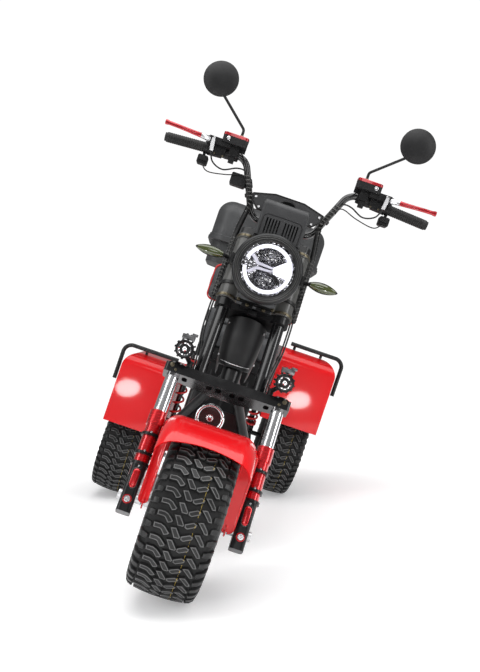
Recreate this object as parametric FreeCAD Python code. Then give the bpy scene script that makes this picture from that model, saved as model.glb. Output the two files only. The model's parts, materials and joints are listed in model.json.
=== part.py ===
import FreeCAD, Part
import math
import os

# Tilting electric trike: one wheel in a wide telescopic fork, two rear wheels on swingarms that let
# the body lean while all three tyres stay on the ground. Lengths are millimetres.
# Pieces are modelled upright: X across, Y rearwards, Z up, origin on the ground under the front axle.
# Fork pieces are drawn along their legs: X across, Y behind the legs, Z along them from the axle.
# At the end every piece is leaned over and centred on the ground.

vec = FreeCAD.Vector
AXIS_X = vec(1, 0, 0)
AXIS_Y = vec(0, 1, 0)
AXIS_Z = vec(0, 0, 1)

# Stance
lean_deg = 19.0
wheelbase = 1543.0
rear_track = 648.0

# Tyres
tyre_radius = 225.0
tyre_half_width = 99.0
tyre_wall = 13.0
tyre_tread_wall = 20.0
tread_half_width = 80.0
tread_crown_drop = 7.0
shoulder_drop = 42.0
sidewall_flat = 26.0
bead_radius = 106.0
bead_half_width = 73.7

# Wheels
rim_wall = 6.0
rim_flange_height = 8.0
rim_flange_thickness = 5.0
wheel_web_thickness = 14.0
wheel_hole_count = 5
wheel_hole_radius = 17.0
front_hub_radius = 34.0
front_hub_half_length = 62.0
motor_drum_radius = 74.0
motor_drum_half_length = 54.0
running_clearance = 0.3
axle_running_gap = 0.05
front_disc_radius = 80.0
disc_clearance = 5.0
disc_thickness = 4.0
front_disc_x = -98.0

# Fork
rake_deg = 25.5
leg_half_spacing = 162.0
tube_half_spacing = 90.0
steer_offset = 40.0
shoe_bottom = -48.0
shoe_top = 88.0
slider_bottom = 60.0
slider_top = 256.0
slider_radius = 22.0
slider_top_radius = 25.0
slider_step = 212.0
slider_ring_radius = 27.0
slider_ring_height = 9.0
slider_ring_places = (78.0, 124.0, 181.0)
tube_radius = 19.0
yoke_plate_middle = 391.0
yoke_plate_height = 30.0
yoke_plate_half_width = 184.0
yoke_neck_half_width = 34.0
yoke_boss_height = 7.0
yoke_slot_places = (22.0, 50.0, 126.0)
yoke_slot_half_length = 8.0
yoke_slot_radius = 8.0
yoke_slot_depth = 9.0
mid_yoke_middle = 652.0
mid_yoke_height = 26.0
shroud_wall = 10.0
collar_height = 15.0
collar_lift = 3.0
top_yoke_middle = 915.0
top_yoke_height = 24.0
front_axle_radius = 8.0
axle_spacer_radius = 13.0
shoe_width = 40.0
shoe_depth = 50.0

# Steering head
head_tube_radius = 30.0
head_tube_gap = 2.0
stem_clearance = 0.5
stem_radius = 14.0

# Shield in front of the steering head
hood_wall = 3.0
hood_half_width = 62.0
hood_foot = 56.0
hood_reach = 84.0
hood_round_end = 78.0

# Front fender
fender_gap = 28.0
fender_wall = 3.0
fender_half_width = 132.0
fender_corner_radius = 46.0
fender_corner_deg = 8.0
fender_skirt = 36.0
fender_front_deg = 41.0
fender_rear_deg = 62.0
fender_stay_width = 24.0
fender_stay_x = 119.0
fender_stay_thickness = 4.0

# Rear fenders, measured from their own wheel's centre
rear_fender_inner = 136.0
rear_fender_outer = 112.0
rear_fender_ahead = 269.0
rear_fender_behind = 236.0
rear_fender_top = 415.0
rear_fender_bottom = 103.0
rear_fender_wall = 3.5
rear_fender_corner = 70.0
rear_fender_brow = 62.0
rear_fender_tail = 150.0

# Guard rails over the rear fenders
rail_radius = 8.5
rail_lift = 22.0
rail_outer_reach = 124.0
rail_drop = 155.0
rail_bend = 36.0
rail_inner_reach = 110.0

# Rear suspension
swingarm_reach = 423.0
swingarm_pivot_y = wheelbase - swingarm_reach
swingarm_pivot_z = 300.0
swingarm_inset = 156.0
swingarm_x = rear_track / 2 - swingarm_inset
swingarm_boss_half = 23.7
swingarm_tube_radius = 20.0
swingarm_hub_radius = 38.0
rear_stay_radius = 11.0
fender_stay_ahead = 90.0
fender_stay_drop = 60.0
rear_axle_radius = 10.0
shock_top_ahead = 243.0
shock_top_y = wheelbase - shock_top_ahead
shock_radius = 24.0
shock_body_gap = 36.0
spring_wire_radius = 4.5
spring_turns = 7
spring_seat = 7.0
damper_radius = 13.0
shock_rod_radius = 9.0
shock_place = 0.62
shock_lug = 34.0
shock_inset = 6.0

# Frame
frame_tube_radius = 16.0
cross_tube_radius = 12.8
down_tube_radius = 20.0
loop_start = 52.0
floor_z = 330.0
floor_half_width = 128.0
floor_front_y = 420.0
floor_rear_ahead = 583.0
floor_rear_y = wheelbase - floor_rear_ahead
floor_cross_gap = 30.0
seat_rail_z = 610.0
seat_rail_inset = 58.0
seat_rail_half_width = swingarm_x - seat_rail_inset
seat_rail_behind = 147.0
seat_rail_rear_y = wheelbase + seat_rail_behind
seat_cross_y = 674.0
spine_bend_y = 470.0
spine_bend = 90.0
rear_cross_gap = 40.0

# Battery box and foot deck
battery_half_width = 112.0
battery_bottom = 196.0
battery_front_y = 440.0
battery_side_gap = 4.0
battery_panel_reach = 26.0
battery_panel_inset = 20.0
battery_panel_lift = 30.0
battery_panel_height = 160.0
battery_rear_gap = 20.0
battery_rear_y = floor_rear_y - battery_rear_gap
deck_half_width = 150.0
deck_thickness = 8.0
deck_corner = 40.0
deck_front_gap = 96.0
deck_rear_gap = 60.0

# Horn
horn_x = -18.0
horn_radius = 46.0
horn_depth = 34.0
horn_ring_radius = 6.0
horn_stem_radius = 8.0
horn_y = 313.0
horn_z = 466.0

# Body and seats
boot_fender_gap = 48.0
boot_half_width = rear_track / 2 - rear_fender_inner - boot_fender_gap
boot_front_y = 700.0
boot_rear_inset = 50.0
boot_rear_y = seat_rail_rear_y - boot_rear_inset
boot_rail_gap = 0.3
rider_seat_top = 752.0
rider_seat_half_width = 150.0
rider_seat_front_y = 690.0
rider_seat_rear_ahead = 453.0
rider_seat_rear_y = wheelbase - rider_seat_rear_ahead
seat_thickness = 84.0
seat_edge = 18.0
rider_seat_corner = 60.0
passenger_seat_corner = 40.0
seat_step_gap = 20.0
passenger_seat_top = 812.0
passenger_seat_half_width = 165.0
passenger_seat_rear_ahead = 131.0
passenger_seat_rear_y = wheelbase - passenger_seat_rear_ahead
backrest_half_width = 205.0
backrest_top = 1010.0
backrest_bottom = 836.0
backrest_thickness = 62.0
soft_gap = 0.3

# Tail lamp and number-plate holder
tail_lamp_width = 150.0
tail_lamp_height = 44.0
tail_lamp_depth = 30.0
tail_lamp_z = 680.0
plate_holder_width = 190.0
plate_holder_wall = 4.0
plate_holder_drop = 40.0
plate_screw_spacing = 140.0
plate_screw_radius = 3.2

# Top case
case_x = -22.0
case_half_width = 250.0
case_front_ahead = 93.0
case_front_y = wheelbase - case_front_ahead
case_length = 390.0
case_bottom = 1006.0
case_split = 1120.0
case_top = 1296.0
case_rim_height = 16.0
case_rim_reach = 8.0
case_base_inset = 14.0
case_corner = 70.0
case_shoulder = 66.0
case_lip_height = 12.0
case_wall = 4.0
rack_z = 990.0
rack_tube_radius = 8.0
rack_front_gap = 14.0
rack_plate_inset = 20.0
rack_plate_half_width = seat_rail_half_width - rack_plate_inset
rack_post_inset = 50.0
rack_post_x = seat_rail_half_width - rack_post_inset
rack_bend = 30.0
weld_tolerance = 0.001

# Headlight
headlight_y = 170.0
headlight_z = 951.0
headlight_radius = 106.0
headlight_depth = 118.0
headlight_bezel_depth = 30.0
ear_half_height = 16.0
ear_wall = 5.0
ear_thickness = 7.0
headlight_lens_radius = 80.0
headlight_lens_depth = 12.0
reflector_depth = 30.0
reflector_cup_radius = 36.0
reflector_cup_spacing = 34.0

# Turn signals
signal_tip_x = 233.0
signal_root_x = 134.0
signal_height = 35.0
signal_thickness = 24.0
signal_y = 310.0
signal_z = 959.0
signal_stalk_radius = 6.0

# Auxiliary lamps
aux_x = 152.0
aux_y = 112.0
aux_z = 652.0
aux_radius = 31.0
aux_barrel_radius = 24.0
aux_depth = 62.0
aux_fin_count = 12
aux_fin_width = 5.0
aux_lens_radius = 21.0
aux_recess = 7.0

# Cowl and instrument plate
cowl_half_width = 74.0
cowl_front_y = 262.0
cowl_depth = 96.0
cowl_bottom = 1050.0
cowl_top = 1164.0
cowl_wall = 4.0
slat_count = 5
slat_pitch = 9.5
slat_width = 4.5
slat_height = 50.0
slat_foot = 8.0
slat_middle_gap = 10.0
cowl_lug_reach = 48.0
plate_half_width = 119.0
plate_y = 378.0
plate_thickness = 14.0
plate_top = 1202.0
plate_bottom = 1136.0

# Handlebar
bar_radius = 11.1
bar_clamp_y = 444.0
bar_clamp_z = 1112.0
bar_rise_x = 108.0
bar_bend_x = 178.0
bar_bend_z = 1290.0
bar_end_x = 440.0
bar_end_z = 1272.0
bar_low_bend = 46.0
bar_clamp_x = 38.0
bar_bore_length = 400.0
grip_length = 122.0
grip_radius = 16.0

# Hand controls
lever_tip_x = 449.0
lever_tip_y = 352.0
lever_tip_z = 1300.0
lever_root_x = 300.0
lever_root_z = 1296.0
lever_radius = 7.0
reservoir_x = 226.0
reservoir_y = 404.0
reservoir_z = 1322.0
reservoir_length = 82.0
reservoir_width = 50.0
reservoir_height = 30.0
switch_length = 34.0
switch_width = 34.0
switch_drop = 56.0
relay_z = 1214.0
relay_length = 52.0
relay_depth = 40.0
relay_height = 40.0
relay_clip_wall = 2.5

# Cable bundles on the bars
bundle_radius = 7.5
bundle_bend = 60.0
bundle_top_z = 1236.0
bundle_mid_z = 1150.0
bundle_clip_z = 1180.0
bundle_low_z = 838.0
bundle_beside = 40.0
bundle_behind = 20.0
bundle_run = 225.0
bundle_tie = 34.0
clip_width = 10.0
clip_wall = 4.0

# Mirrors
mirror_radius = 57.0
mirror_rim = 7.0
mirror_dome = 17.0
mirror_x = 333.0
mirror_y = 396.0
mirror_z = 1496.0
mirror_stem_radius = 4.5
mirror_base_x = 212.0
mirror_bend_z = 1366.0

lean = math.radians(lean_deg)
rake = math.radians(rake_deg)
rear_shift = rear_track / 2 * math.tan(lean)


def box(x0, y0, z0, x1, y1, z1):
    """Box between two corners."""
    return Part.makeBox(x1 - x0, y1 - y0, z1 - z0, vec(x0, y0, z0))


def rod(start, end, radius):
    """Round bar between two points."""
    line = end - start
    return Part.makeCylinder(radius, line.Length, start, line)


def sleeve(start, end, outer, inner):
    """Round tube between two points."""
    return rod(start, end, outer).cut(rod(start, end, inner))


def route(points, bend):
    """Wire of straight runs joined by tangent arcs of one bend radius."""
    edges = []
    here = points[0]
    for before, corner, after in zip(points, points[1:], points[2:]):
        inward = (before - corner).normalize()
        outward = (after - corner).normalize()
        half = inward.getAngle(outward) / 2
        reach = bend / math.tan(half)
        first = corner + inward * reach
        last = corner + outward * reach
        bisector = (inward + outward).normalize()
        middle = corner + bisector * (bend / math.sin(half) - bend)
        edges.append(Part.LineSegment(here, first).toShape())
        edges.append(Part.Arc(first, middle, last).toShape())
        here = last
    edges.append(Part.LineSegment(here, points[-1]).toShape())
    return Part.Wire(edges)


def bent_tube(points, radius, bend):
    """Solid round bar that follows a route."""
    path = route(points, bend)
    section = Part.Wire(Part.makeCircle(radius, points[0], points[1] - points[0]))
    return path.makePipeShell([section], True, True)


def outline(points):
    """Closed wire of straight edges."""
    return Part.makePolygon(list(points) + [points[0]])


def prism(points, direction):
    """Straight extrusion of a closed outline."""
    return Part.Face(outline(points)).extrude(direction)


def spun(wire, centre, axis, degrees=360.0):
    """Solid of revolution of a closed wire."""
    return Part.Face(wire).revolve(centre, axis, degrees)


def arc(start, middle, end):
    """Edge through three points."""
    return Part.Arc(start, middle, end).toShape()


def line(start, end):
    """Straight edge."""
    return Part.LineSegment(start, end).toShape()


def rounded(shape, radius, keep):
    """Fillet the edges that a test picks."""
    edges = [edge for edge in shape.Edges if keep(edge)]
    return shape.makeFillet(radius, edges)


def along(edge, axis):
    """True for a straight edge that runs along an axis."""
    if edge.Curve.TypeId != "Part::GeomLine":
        return False
    return abs(abs(edge.tangentAt(edge.FirstParameter).dot(axis)) - 1) < 1e-6


def opposite(point):
    """The same point on the other side of the middle plane."""
    return vec(-point.x, point.y, point.z)


def mirrored(shape):
    """The same piece on the other side of the middle plane."""
    return shape.mirror(vec(0, 0, 0), AXIS_X)


def both(shape):
    """A piece and its mirror image, as separate solids."""
    return Part.makeCompound([shape, mirrored(shape)])


def fused(shapes):
    """One solid from pieces that meet."""
    whole = shapes[0]
    for shape in shapes[1:]:
        whole = whole.fuse(shape)
    return whole.removeSplitter()


def on_fork(shape):
    """Move a piece drawn along the fork legs to its raked place."""
    turn = FreeCAD.Rotation(AXIS_X, -rake_deg)
    placed = shape.copy()
    placed.Placement = FreeCAD.Placement(vec(0, 0, tyre_radius), turn).multiply(placed.Placement)
    return placed


def fork_point(x, behind, up):
    """Upright place of a point given along the fork legs."""
    turn = FreeCAD.Rotation(AXIS_X, -rake_deg)
    return turn.multVec(vec(x, behind, up)) + vec(0, 0, tyre_radius)


# Wheels, drawn about their own centres with the axle along X

def tyre():
    """Wide low tyre with a gently crowned tread and rounded shoulders."""
    crown = tyre_radius - tread_crown_drop
    shoulder = tyre_radius - shoulder_drop
    flat_end = shoulder - sidewall_flat
    bead_top = bead_radius + rim_flange_height + 1.0
    bead_x = bead_half_width + rim_flange_thickness + 1.5
    mid_shoulder = vec(tread_half_width + 0.74 * (tyre_half_width - tread_half_width), 0,
                       shoulder + 0.7 * (crown - shoulder))
    mid_wall = vec(tyre_half_width - 0.28 * (tyre_half_width - bead_x), 0,
                   (flat_end + bead_top) / 2)
    right = [
        vec(tread_half_width, 0, crown),
        vec(tyre_half_width, 0, shoulder),
        vec(tyre_half_width, 0, flat_end),
        vec(bead_x, 0, bead_top),
        vec(bead_half_width, 0, bead_top),
        vec(bead_half_width, 0, bead_radius),
    ]
    left = [opposite(point) for point in right]
    edges = [
        arc(left[0], vec(0, 0, tyre_radius), right[0]),
        arc(right[0], mid_shoulder, right[1]),
        line(right[1], right[2]),
        arc(right[2], mid_wall, right[3]),
        line(right[3], right[4]),
        line(right[4], right[5]),
        line(right[5], left[5]),
        line(left[5], left[4]),
        line(left[4], left[3]),
        arc(left[3], opposite(mid_wall), left[2]),
        line(left[2], left[1]),
        arc(left[1], opposite(mid_shoulder), left[0]),
    ]
    solid = spun(Part.Wire(edges), vec(0, 0, 0), AXIS_X)
    waist = (flat_end + bead_top) / 2
    half_cavity = [
        vec(bead_half_width - tyre_wall, 0, bead_radius - 1),
        vec(bead_half_width - tyre_wall, 0, bead_top),
        vec(tyre_half_width - tyre_wall, 0, waist + 20),
        vec(tyre_half_width - tyre_wall, 0, shoulder - 4),
        vec(tread_half_width - 6, 0, crown - tyre_tread_wall),
    ]
    cavity = outline(half_cavity + [opposite(point) for point in reversed(half_cavity)])
    return solid.cut(spun(cavity, vec(0, 0, 0), AXIS_X))


def rim():
    """Rim barrel with its two flanges and a drilled web."""
    seat = bead_radius - running_clearance
    inner = seat - rim_wall
    flange_in = bead_half_width + running_clearance
    flange_out = flange_in + rim_flange_thickness
    top = bead_radius + rim_flange_height
    points = [
        vec(-flange_out, 0, inner), vec(-flange_out, 0, top), vec(-flange_in, 0, top),
        vec(-flange_in, 0, seat), vec(flange_in, 0, seat), vec(flange_in, 0, top),
        vec(flange_out, 0, top), vec(flange_out, 0, inner),
    ]
    barrel = spun(outline(points), vec(0, 0, 0), AXIS_X)
    half = wheel_web_thickness / 2
    web = sleeve(vec(-half, 0, 0), vec(half, 0, 0), inner + 1.0, front_hub_radius - 2.0)
    ring = (inner + front_hub_radius) / 2
    for index in range(wheel_hole_count):
        angle = 2 * math.pi * index / wheel_hole_count
        centre = vec(-half - 1, ring * math.sin(angle), ring * math.cos(angle))
        web = web.cut(Part.makeCylinder(wheel_hole_radius, wheel_web_thickness + 2, centre, AXIS_X))
    return barrel.fuse(web)


def front_wheel_rim():
    """Front rim with its hub, bored for the axle, and the brake disc on its left end."""
    bore = front_axle_radius + axle_running_gap
    hub = rod(vec(-front_hub_half_length, 0, 0), vec(front_hub_half_length, 0, 0), front_hub_radius)
    carrier = rod(vec(front_disc_x, 0, 0), vec(-front_hub_half_length + 1, 0, 0), front_hub_radius - 8)
    disc = rod(vec(front_disc_x - disc_thickness, 0, 0), vec(front_disc_x, 0, 0), front_disc_radius)
    whole = fused([rim(), hub, carrier, disc])
    span = front_hub_half_length - front_disc_x + disc_thickness + 20
    hole = Part.makeCylinder(bore, span, vec(front_disc_x - disc_thickness - 10, 0, 0), AXIS_X)
    return whole.cut(hole)


def rear_wheel_rim(side):
    """Rear rim round its hub motor, bored for the stub axle on the inner side."""
    drum = rod(vec(-motor_drum_half_length, 0, 0), vec(motor_drum_half_length, 0, 0), motor_drum_radius)
    whole = fused([rim(), drum])
    bore = rear_axle_radius + axle_running_gap
    depth = motor_drum_half_length * 1.5
    mouth = vec(-side * (motor_drum_half_length + 1), 0, 0)
    return whole.cut(Part.makeCylinder(bore, depth, mouth, vec(side, 0, 0)))


# Fork

def fork_shoe(side):
    """Black foot of a fork leg, slotted in front, that clamps the axle."""
    x = side * leg_half_spacing
    half = shoe_width / 2
    body = box(x - half, -shoe_depth / 2, shoe_bottom, x + half, shoe_depth / 2, shoe_top)
    body = rounded(body, half * 0.6, lambda e: along(e, AXIS_Z))
    body = body.cut(rod(vec(x, 0, slider_bottom), vec(x, 0, shoe_top + 1),
                        slider_radius + running_clearance))
    window = box(x - half * 0.45, -shoe_depth, slider_bottom - 20, x + half * 0.45,
                 -shoe_depth / 2 + 8, shoe_top - 14)
    body = body.cut(window)
    return body.cut(rod(vec(x - half - 1, 0, 0), vec(x + half + 1, 0, 0),
                        front_axle_radius + axle_running_gap))


def slider(side):
    """Red lower leg with a thicker upper end."""
    x = side * leg_half_spacing
    low = rod(vec(x, 0, slider_bottom), vec(x, 0, slider_step), slider_radius)
    high = rod(vec(x, 0, slider_step), vec(x, 0, slider_top), slider_top_radius)
    return fused([low, high])


def slider_rings():
    """Black clamp rings round both sliders."""
    rings = []
    for side in (-1, 1):
        x = side * leg_half_spacing
        for place in slider_ring_places:
            start = max(place - slider_ring_height / 2, shoe_top + 0.3)
            rings.append(sleeve(vec(x, 0, start), vec(x, 0, start + slider_ring_height),
                                slider_ring_radius, slider_radius + running_clearance))
    return Part.makeCompound(rings)


def fork_tube(side):
    """Bright tube from the slider up into the wide yoke plate."""
    x = side * leg_half_spacing
    top = yoke_plate_middle + yoke_plate_height / 2 + yoke_boss_height
    return rod(vec(x, 0, slider_top), vec(x, 0, top), tube_radius)


def upper_tube(side):
    """Black tube from the yoke plate up to the handlebar clamp yoke."""
    x = side * tube_half_spacing
    base = yoke_plate_middle - yoke_plate_height / 2
    top = top_yoke_middle + top_yoke_height / 2 + 6
    return rod(vec(x, 0, base), vec(x, 0, top), tube_radius)


def yoke_plate():
    """Wide lower yoke that carries the legs at its ends and the narrower tubes inside."""
    low = yoke_plate_middle - yoke_plate_height / 2
    high = low + yoke_plate_height
    front = -tube_radius - 11
    rear = steer_offset + stem_radius + 10
    half = yoke_plate_half_width + 8
    shape = prism([vec(-half, front, low), vec(half, front, low), vec(half, tube_radius + 8, low),
                   vec(yoke_neck_half_width, rear, low), vec(-yoke_neck_half_width, rear, low),
                   vec(-half, tube_radius + 8, low)], vec(0, 0, yoke_plate_height))
    shape = rounded(shape, 9.0, lambda e: along(e, AXIS_Z))
    for side in (-1, 1):
        foot = vec(side * leg_half_spacing, 0, high - 1)
        shape = shape.fuse(rod(foot, foot + AXIS_Z * (yoke_boss_height + 1), tube_radius + 7))
        for x in (leg_half_spacing, tube_half_spacing):
            shape = shape.cut(rod(vec(side * x, 0, low - 1), vec(side * x, 0, high + yoke_boss_height + 1),
                                  tube_radius + running_clearance))
        for x in yoke_slot_places:
            shape = shape.cut(yoke_slot(side * x, low))
    stem = rod(vec(0, steer_offset, low + 1), vec(0, steer_offset, mid_yoke_middle), stem_radius)
    return fused([shape, stem])


def yoke_slot(x, low):
    """Oval pocket in the underside of the yoke plate."""
    half = yoke_slot_half_length
    radius = yoke_slot_radius
    ends = [rod(vec(x, y, low - 1), vec(x, y, low + yoke_slot_depth), radius) for y in (-half, half)]
    middle = box(x - radius, -half, low - 1, x + radius, half, low + yoke_slot_depth)
    return fused(ends + [middle])


def mid_yoke():
    """Middle yoke with a collar round each tube."""
    low = mid_yoke_middle - mid_yoke_height / 2
    high = low + mid_yoke_height
    bridge = box(-tube_half_spacing, -16, low + 3, tube_half_spacing, steer_offset + 24, high - 3)
    collars = [rod(vec(side * tube_half_spacing, 0, low), vec(side * tube_half_spacing, 0, high),
                   tube_radius + 9) for side in (-1, 1)]
    shape = fused([bridge] + collars)
    for side in (-1, 1):
        x = side * tube_half_spacing
        shape = shape.cut(rod(vec(x, 0, low - 1), vec(x, 0, high + 1), tube_radius + running_clearance))
    return shape.cut(rod(vec(0, steer_offset, low - 1), vec(0, steer_offset, mid_yoke_middle + 0.1),
                         stem_radius + running_clearance))


def shroud_foot():
    """Lower end of the shrouds along the fork."""
    return mid_yoke_middle + mid_yoke_height / 2 + 1


def fork_shroud(side):
    """Satin cover over an upper tube, with a clamp collar at its foot and one at its head."""
    x = side * tube_half_spacing
    low = shroud_foot()
    high = top_yoke_middle - top_yoke_height / 2 - 1
    cover = rod(vec(x, 0, low), vec(x, 0, high), tube_radius + shroud_wall)
    collars = [rod(vec(x, 0, low), vec(x, 0, low + collar_height), tube_radius + shroud_wall + collar_lift),
               rod(vec(x, 0, high - collar_height), vec(x, 0, high), tube_radius + shroud_wall + collar_lift)]
    bore = rod(vec(x, 0, low - 1), vec(x, 0, high + 1), tube_radius + running_clearance)
    return fused([cover] + collars).cut(bore)


def headlight_ears():
    """Two arms from the shrouds to the sides of the headlight bowl."""
    up = (headlight_z - tyre_radius) / math.cos(rake)
    cover = tube_radius + shroud_wall + running_clearance
    arms = []
    for side in (-1, 1):
        x = side * tube_half_spacing
        clamp = on_fork(rod(vec(x, 0, up - ear_half_height), vec(x, 0, up + ear_half_height),
                            cover + ear_wall))
        y_tube = fork_point(0, 0, up).y - tube_radius - 10
        near = side * (headlight_radius + running_clearance)
        far = near + side * ear_thickness
        arm = box(min(near, far), headlight_y + 10, headlight_z - 15,
                  max(near, far), y_tube, headlight_z + 15)
        bore = on_fork(rod(vec(x, 0, up - 60), vec(x, 0, up + 60), cover))
        collar_room = on_fork(rod(vec(x, 0, mid_yoke_middle), vec(x, 0, shroud_foot() + collar_height + 1),
                                  cover + collar_lift))
        arms.append(fused([clamp, arm]).cut(bore).cut(collar_room))
    return Part.makeCompound(arms)


def top_yoke():
    """Upper yoke with the two handlebar clamps."""
    low = top_yoke_middle - top_yoke_height / 2
    high = low + top_yoke_height
    plate = box(-tube_half_spacing - 26, -26, low, tube_half_spacing + 26, steer_offset + 26, high)
    plate = rounded(plate, 20.0, lambda e: along(e, AXIS_Z))
    for side in (-1, 1):
        x = side * tube_half_spacing
        plate = plate.cut(rod(vec(x, 0, low - 1), vec(x, 0, high + 1), tube_radius + running_clearance))
    plate = on_fork(plate)
    risers = []
    for side in (-1, 1):
        x = side * bar_clamp_x
        foot = fork_point(x, 24, high - 3)
        bar = vec(x, bar_clamp_y, bar_clamp_z)
        risers.append(rod(foot, bar, 13.0))
        risers.append(rod(bar - AXIS_X * 14, bar + AXIS_X * 14, bar_radius + 8))
    whole = fused([plate] + risers)
    bore_end = bar_clamp_x + 22
    return whole.cut(rod(vec(-bore_end, bar_clamp_y, bar_clamp_z), vec(bore_end, bar_clamp_y, bar_clamp_z),
                         bar_radius + running_clearance))


def handlebar():
    """High handlebar that rises from the clamps, then turns out to the grips."""
    right = [
        vec(0, bar_clamp_y, bar_clamp_z),
        vec(bar_rise_x - 8, bar_clamp_y, bar_clamp_z),
        vec(bar_bend_x, bar_clamp_y, bar_bend_z),
        vec(bar_end_x, bar_clamp_y - 4, bar_end_z),
    ]
    half = bent_tube(right, bar_radius, bar_low_bend)
    return fused([half, mirrored(half)])


def bar_direction():
    """Unit direction of the outer handlebar on the +X side."""
    start = vec(bar_bend_x, bar_clamp_y, bar_bend_z)
    end = vec(bar_end_x, bar_clamp_y - 4, bar_end_z)
    return (end - start).normalize()


def bar_place(from_end):
    """Point on the outer handlebar at a distance from its end, on the +X side."""
    return vec(bar_end_x, bar_clamp_y - 4, bar_end_z) - bar_direction() * from_end


def hand_grips():
    """Two grips with end caps."""
    tip = bar_place(-3)
    root = bar_place(grip_length)
    grip = sleeve(root, tip, grip_radius, bar_radius + running_clearance)
    return both(fused([grip, rod(bar_place(-0.5), bar_place(-9), grip_radius - 2)]))


def hand_lever(radius):
    """Curved brake lever ahead of a grip, on the +X side."""
    root = vec(lever_root_x, reservoir_y - 30, lever_root_z)
    knee = vec(lever_root_x + 52, lever_tip_y - 6, (lever_root_z + lever_tip_z) / 2 - 3)
    tip = vec(lever_tip_x, lever_tip_y, lever_tip_z)
    path = Part.Wire([Part.Arc(root, knee, tip).toShape()])
    start = (knee - root).normalize()
    section = Part.Wire(Part.makeCircle(radius, root, start))
    return path.makePipeShell([section], True, True)


def perch():
    """Lever perch with its reservoir, clamped round the bar on the +X side."""
    clamp = sleeve(bar_place(grip_length + 62), bar_place(grip_length + 14), bar_radius + 11,
                   bar_radius + running_clearance)
    low = reservoir_z - reservoir_height / 2
    tank = box(reservoir_x - reservoir_length / 2, reservoir_y - reservoir_width / 2, low,
               reservoir_x + reservoir_length / 2, reservoir_y + reservoir_width / 2,
               low + reservoir_height)
    tank = rounded(tank, 12.0, lambda e: along(e, AXIS_Z))
    bore = rod(bar_place(0), bar_place(bar_bore_length), bar_radius + running_clearance)
    neck = box(reservoir_x + 10, reservoir_y - 12, low - 14, lever_root_x + 8, bar_clamp_y - 4, low + 8)
    body = fused([clamp, neck, tank]).cut(bore)
    arm = box(lever_root_x - 12, reservoir_y - 36, lever_root_z - 11, lever_root_x + 10,
              reservoir_y - 2, lever_root_z + 11)
    return fused([body, arm]).cut(hand_lever(lever_radius + running_clearance))


def switch_box():
    """Switch body round the bar between grip and perch, with a small box hanging below it, on the +X side."""
    outer = bar_place(grip_length + running_clearance)
    inner = bar_place(grip_length + 14 - running_clearance)
    ring = rod(inner, outer, bar_radius + 9)
    middle = (inner + outer) * 0.5
    low = middle.z - switch_drop
    body = box(middle.x - switch_length / 2, middle.y - 8, low, middle.x + switch_length / 2,
               middle.y - 8 + switch_width, low + 30)
    neck = box(middle.x - 4, middle.y - 6, low + 20, middle.x + 4, middle.y + 10, middle.z)
    body = rounded(body, 6.0, lambda e: along(e, AXIS_Y))
    bore = rod(bar_place(0), bar_place(bar_bore_length), bar_radius + running_clearance)
    return fused([ring, neck, body]).cut(bore)


def rise_point(z, radius_out):
    """Point beside the rising part of the bar on the +X side, outwards of its middle line."""
    start = vec(bar_rise_x - 8, bar_clamp_y, bar_clamp_z)
    end = vec(bar_bend_x, bar_clamp_y, bar_bend_z)
    direction = (end - start).normalize()
    middle = start + (end - start) * ((z - start.z) / (end.z - start.z))
    return middle + vec(direction.z, 0, -direction.x) * radius_out


def rise_clip(z, width, wall):
    """Ring round the rising part of the bar on the +X side, still without its bore."""
    start = rise_point(z - width / 2, 0)
    end = rise_point(z + width / 2, 0)
    return rod(start, end, bar_radius + wall)


def rise_bore():
    """Room for the rising part of the bar on the +X side."""
    return rod(rise_point(relay_z - 70, 0), rise_point(relay_z + 60, 0), bar_radius + running_clearance)


def relay_box():
    """Relay housing clipped to the rising part of the bar on the -X side."""
    near = rise_point(relay_z, bar_radius - 2)
    front = near.y - relay_depth * 0.35
    body = box(near.x, front, relay_z - relay_height / 2, near.x + relay_length, front + relay_depth,
               relay_z + relay_height / 2)
    body = rounded(body, 6.0, lambda e: along(e, AXIS_Y))
    whole = fused([body, rise_clip(relay_z, relay_height * 0.6, relay_clip_wall)])
    return mirrored(whole.cut(rise_bore()))


def hand_controls():
    """Lever perches, reservoirs, switch bodies and the relay housing."""
    pieces = [perch(), switch_box()]
    return Part.makeCompound(pieces + [mirrored(piece) for piece in pieces] + [relay_box()])


def bundle(side):
    """Wrapped cable bundle that leaves the bar and runs down outside a fork shroud."""
    lead = vec(0, -(bar_radius + clip_wall + bundle_radius - 1), 0)
    up = (bundle_low_z - tyre_radius) / math.cos(rake)
    x = tube_half_spacing + bundle_beside
    cable = bent_tube([
        rise_point(bundle_top_z, 0) + lead,
        rise_point(bundle_mid_z, 0) + lead,
        fork_point(x, bundle_behind, up + bundle_run),
        fork_point(x, bundle_behind, up),
    ], bundle_radius, bundle_bend)
    ring = rise_clip(bundle_clip_z, clip_width, clip_wall)
    tie_up = up + bundle_tie
    cover = tube_radius + shroud_wall
    low = vec(tube_half_spacing, 0, tie_up)
    tie = rod(low, low + AXIS_Z * clip_width, cover + clip_wall)
    saddle = box(tube_half_spacing + cover - 4, 4, tie_up, x, bundle_behind, tie_up + clip_width)
    room = rod(low - AXIS_Z, low + AXIS_Z * (clip_width + 1), cover + running_clearance)
    whole = fused([cable, ring, on_fork(fused([tie, saddle]).cut(room))]).cut(rise_bore())
    if side < 0:
        return mirrored(whole)
    return whole


def mirror_head():
    """Round mirror with a domed back, on the +X side."""
    middle = vec(mirror_x, mirror_y, mirror_z)
    disc = Part.makeCylinder(mirror_radius, mirror_rim, middle, AXIS_Y)
    ball = (mirror_radius ** 2 + mirror_dome ** 2) / (2 * mirror_dome)
    dome = Part.makeSphere(ball, middle + AXIS_Y * (ball - mirror_dome))
    dome = dome.common(Part.makeCylinder(mirror_radius, mirror_dome + 2,
                                         middle - AXIS_Y * (mirror_dome + 1), AXIS_Y))
    return fused([disc, dome])


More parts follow.
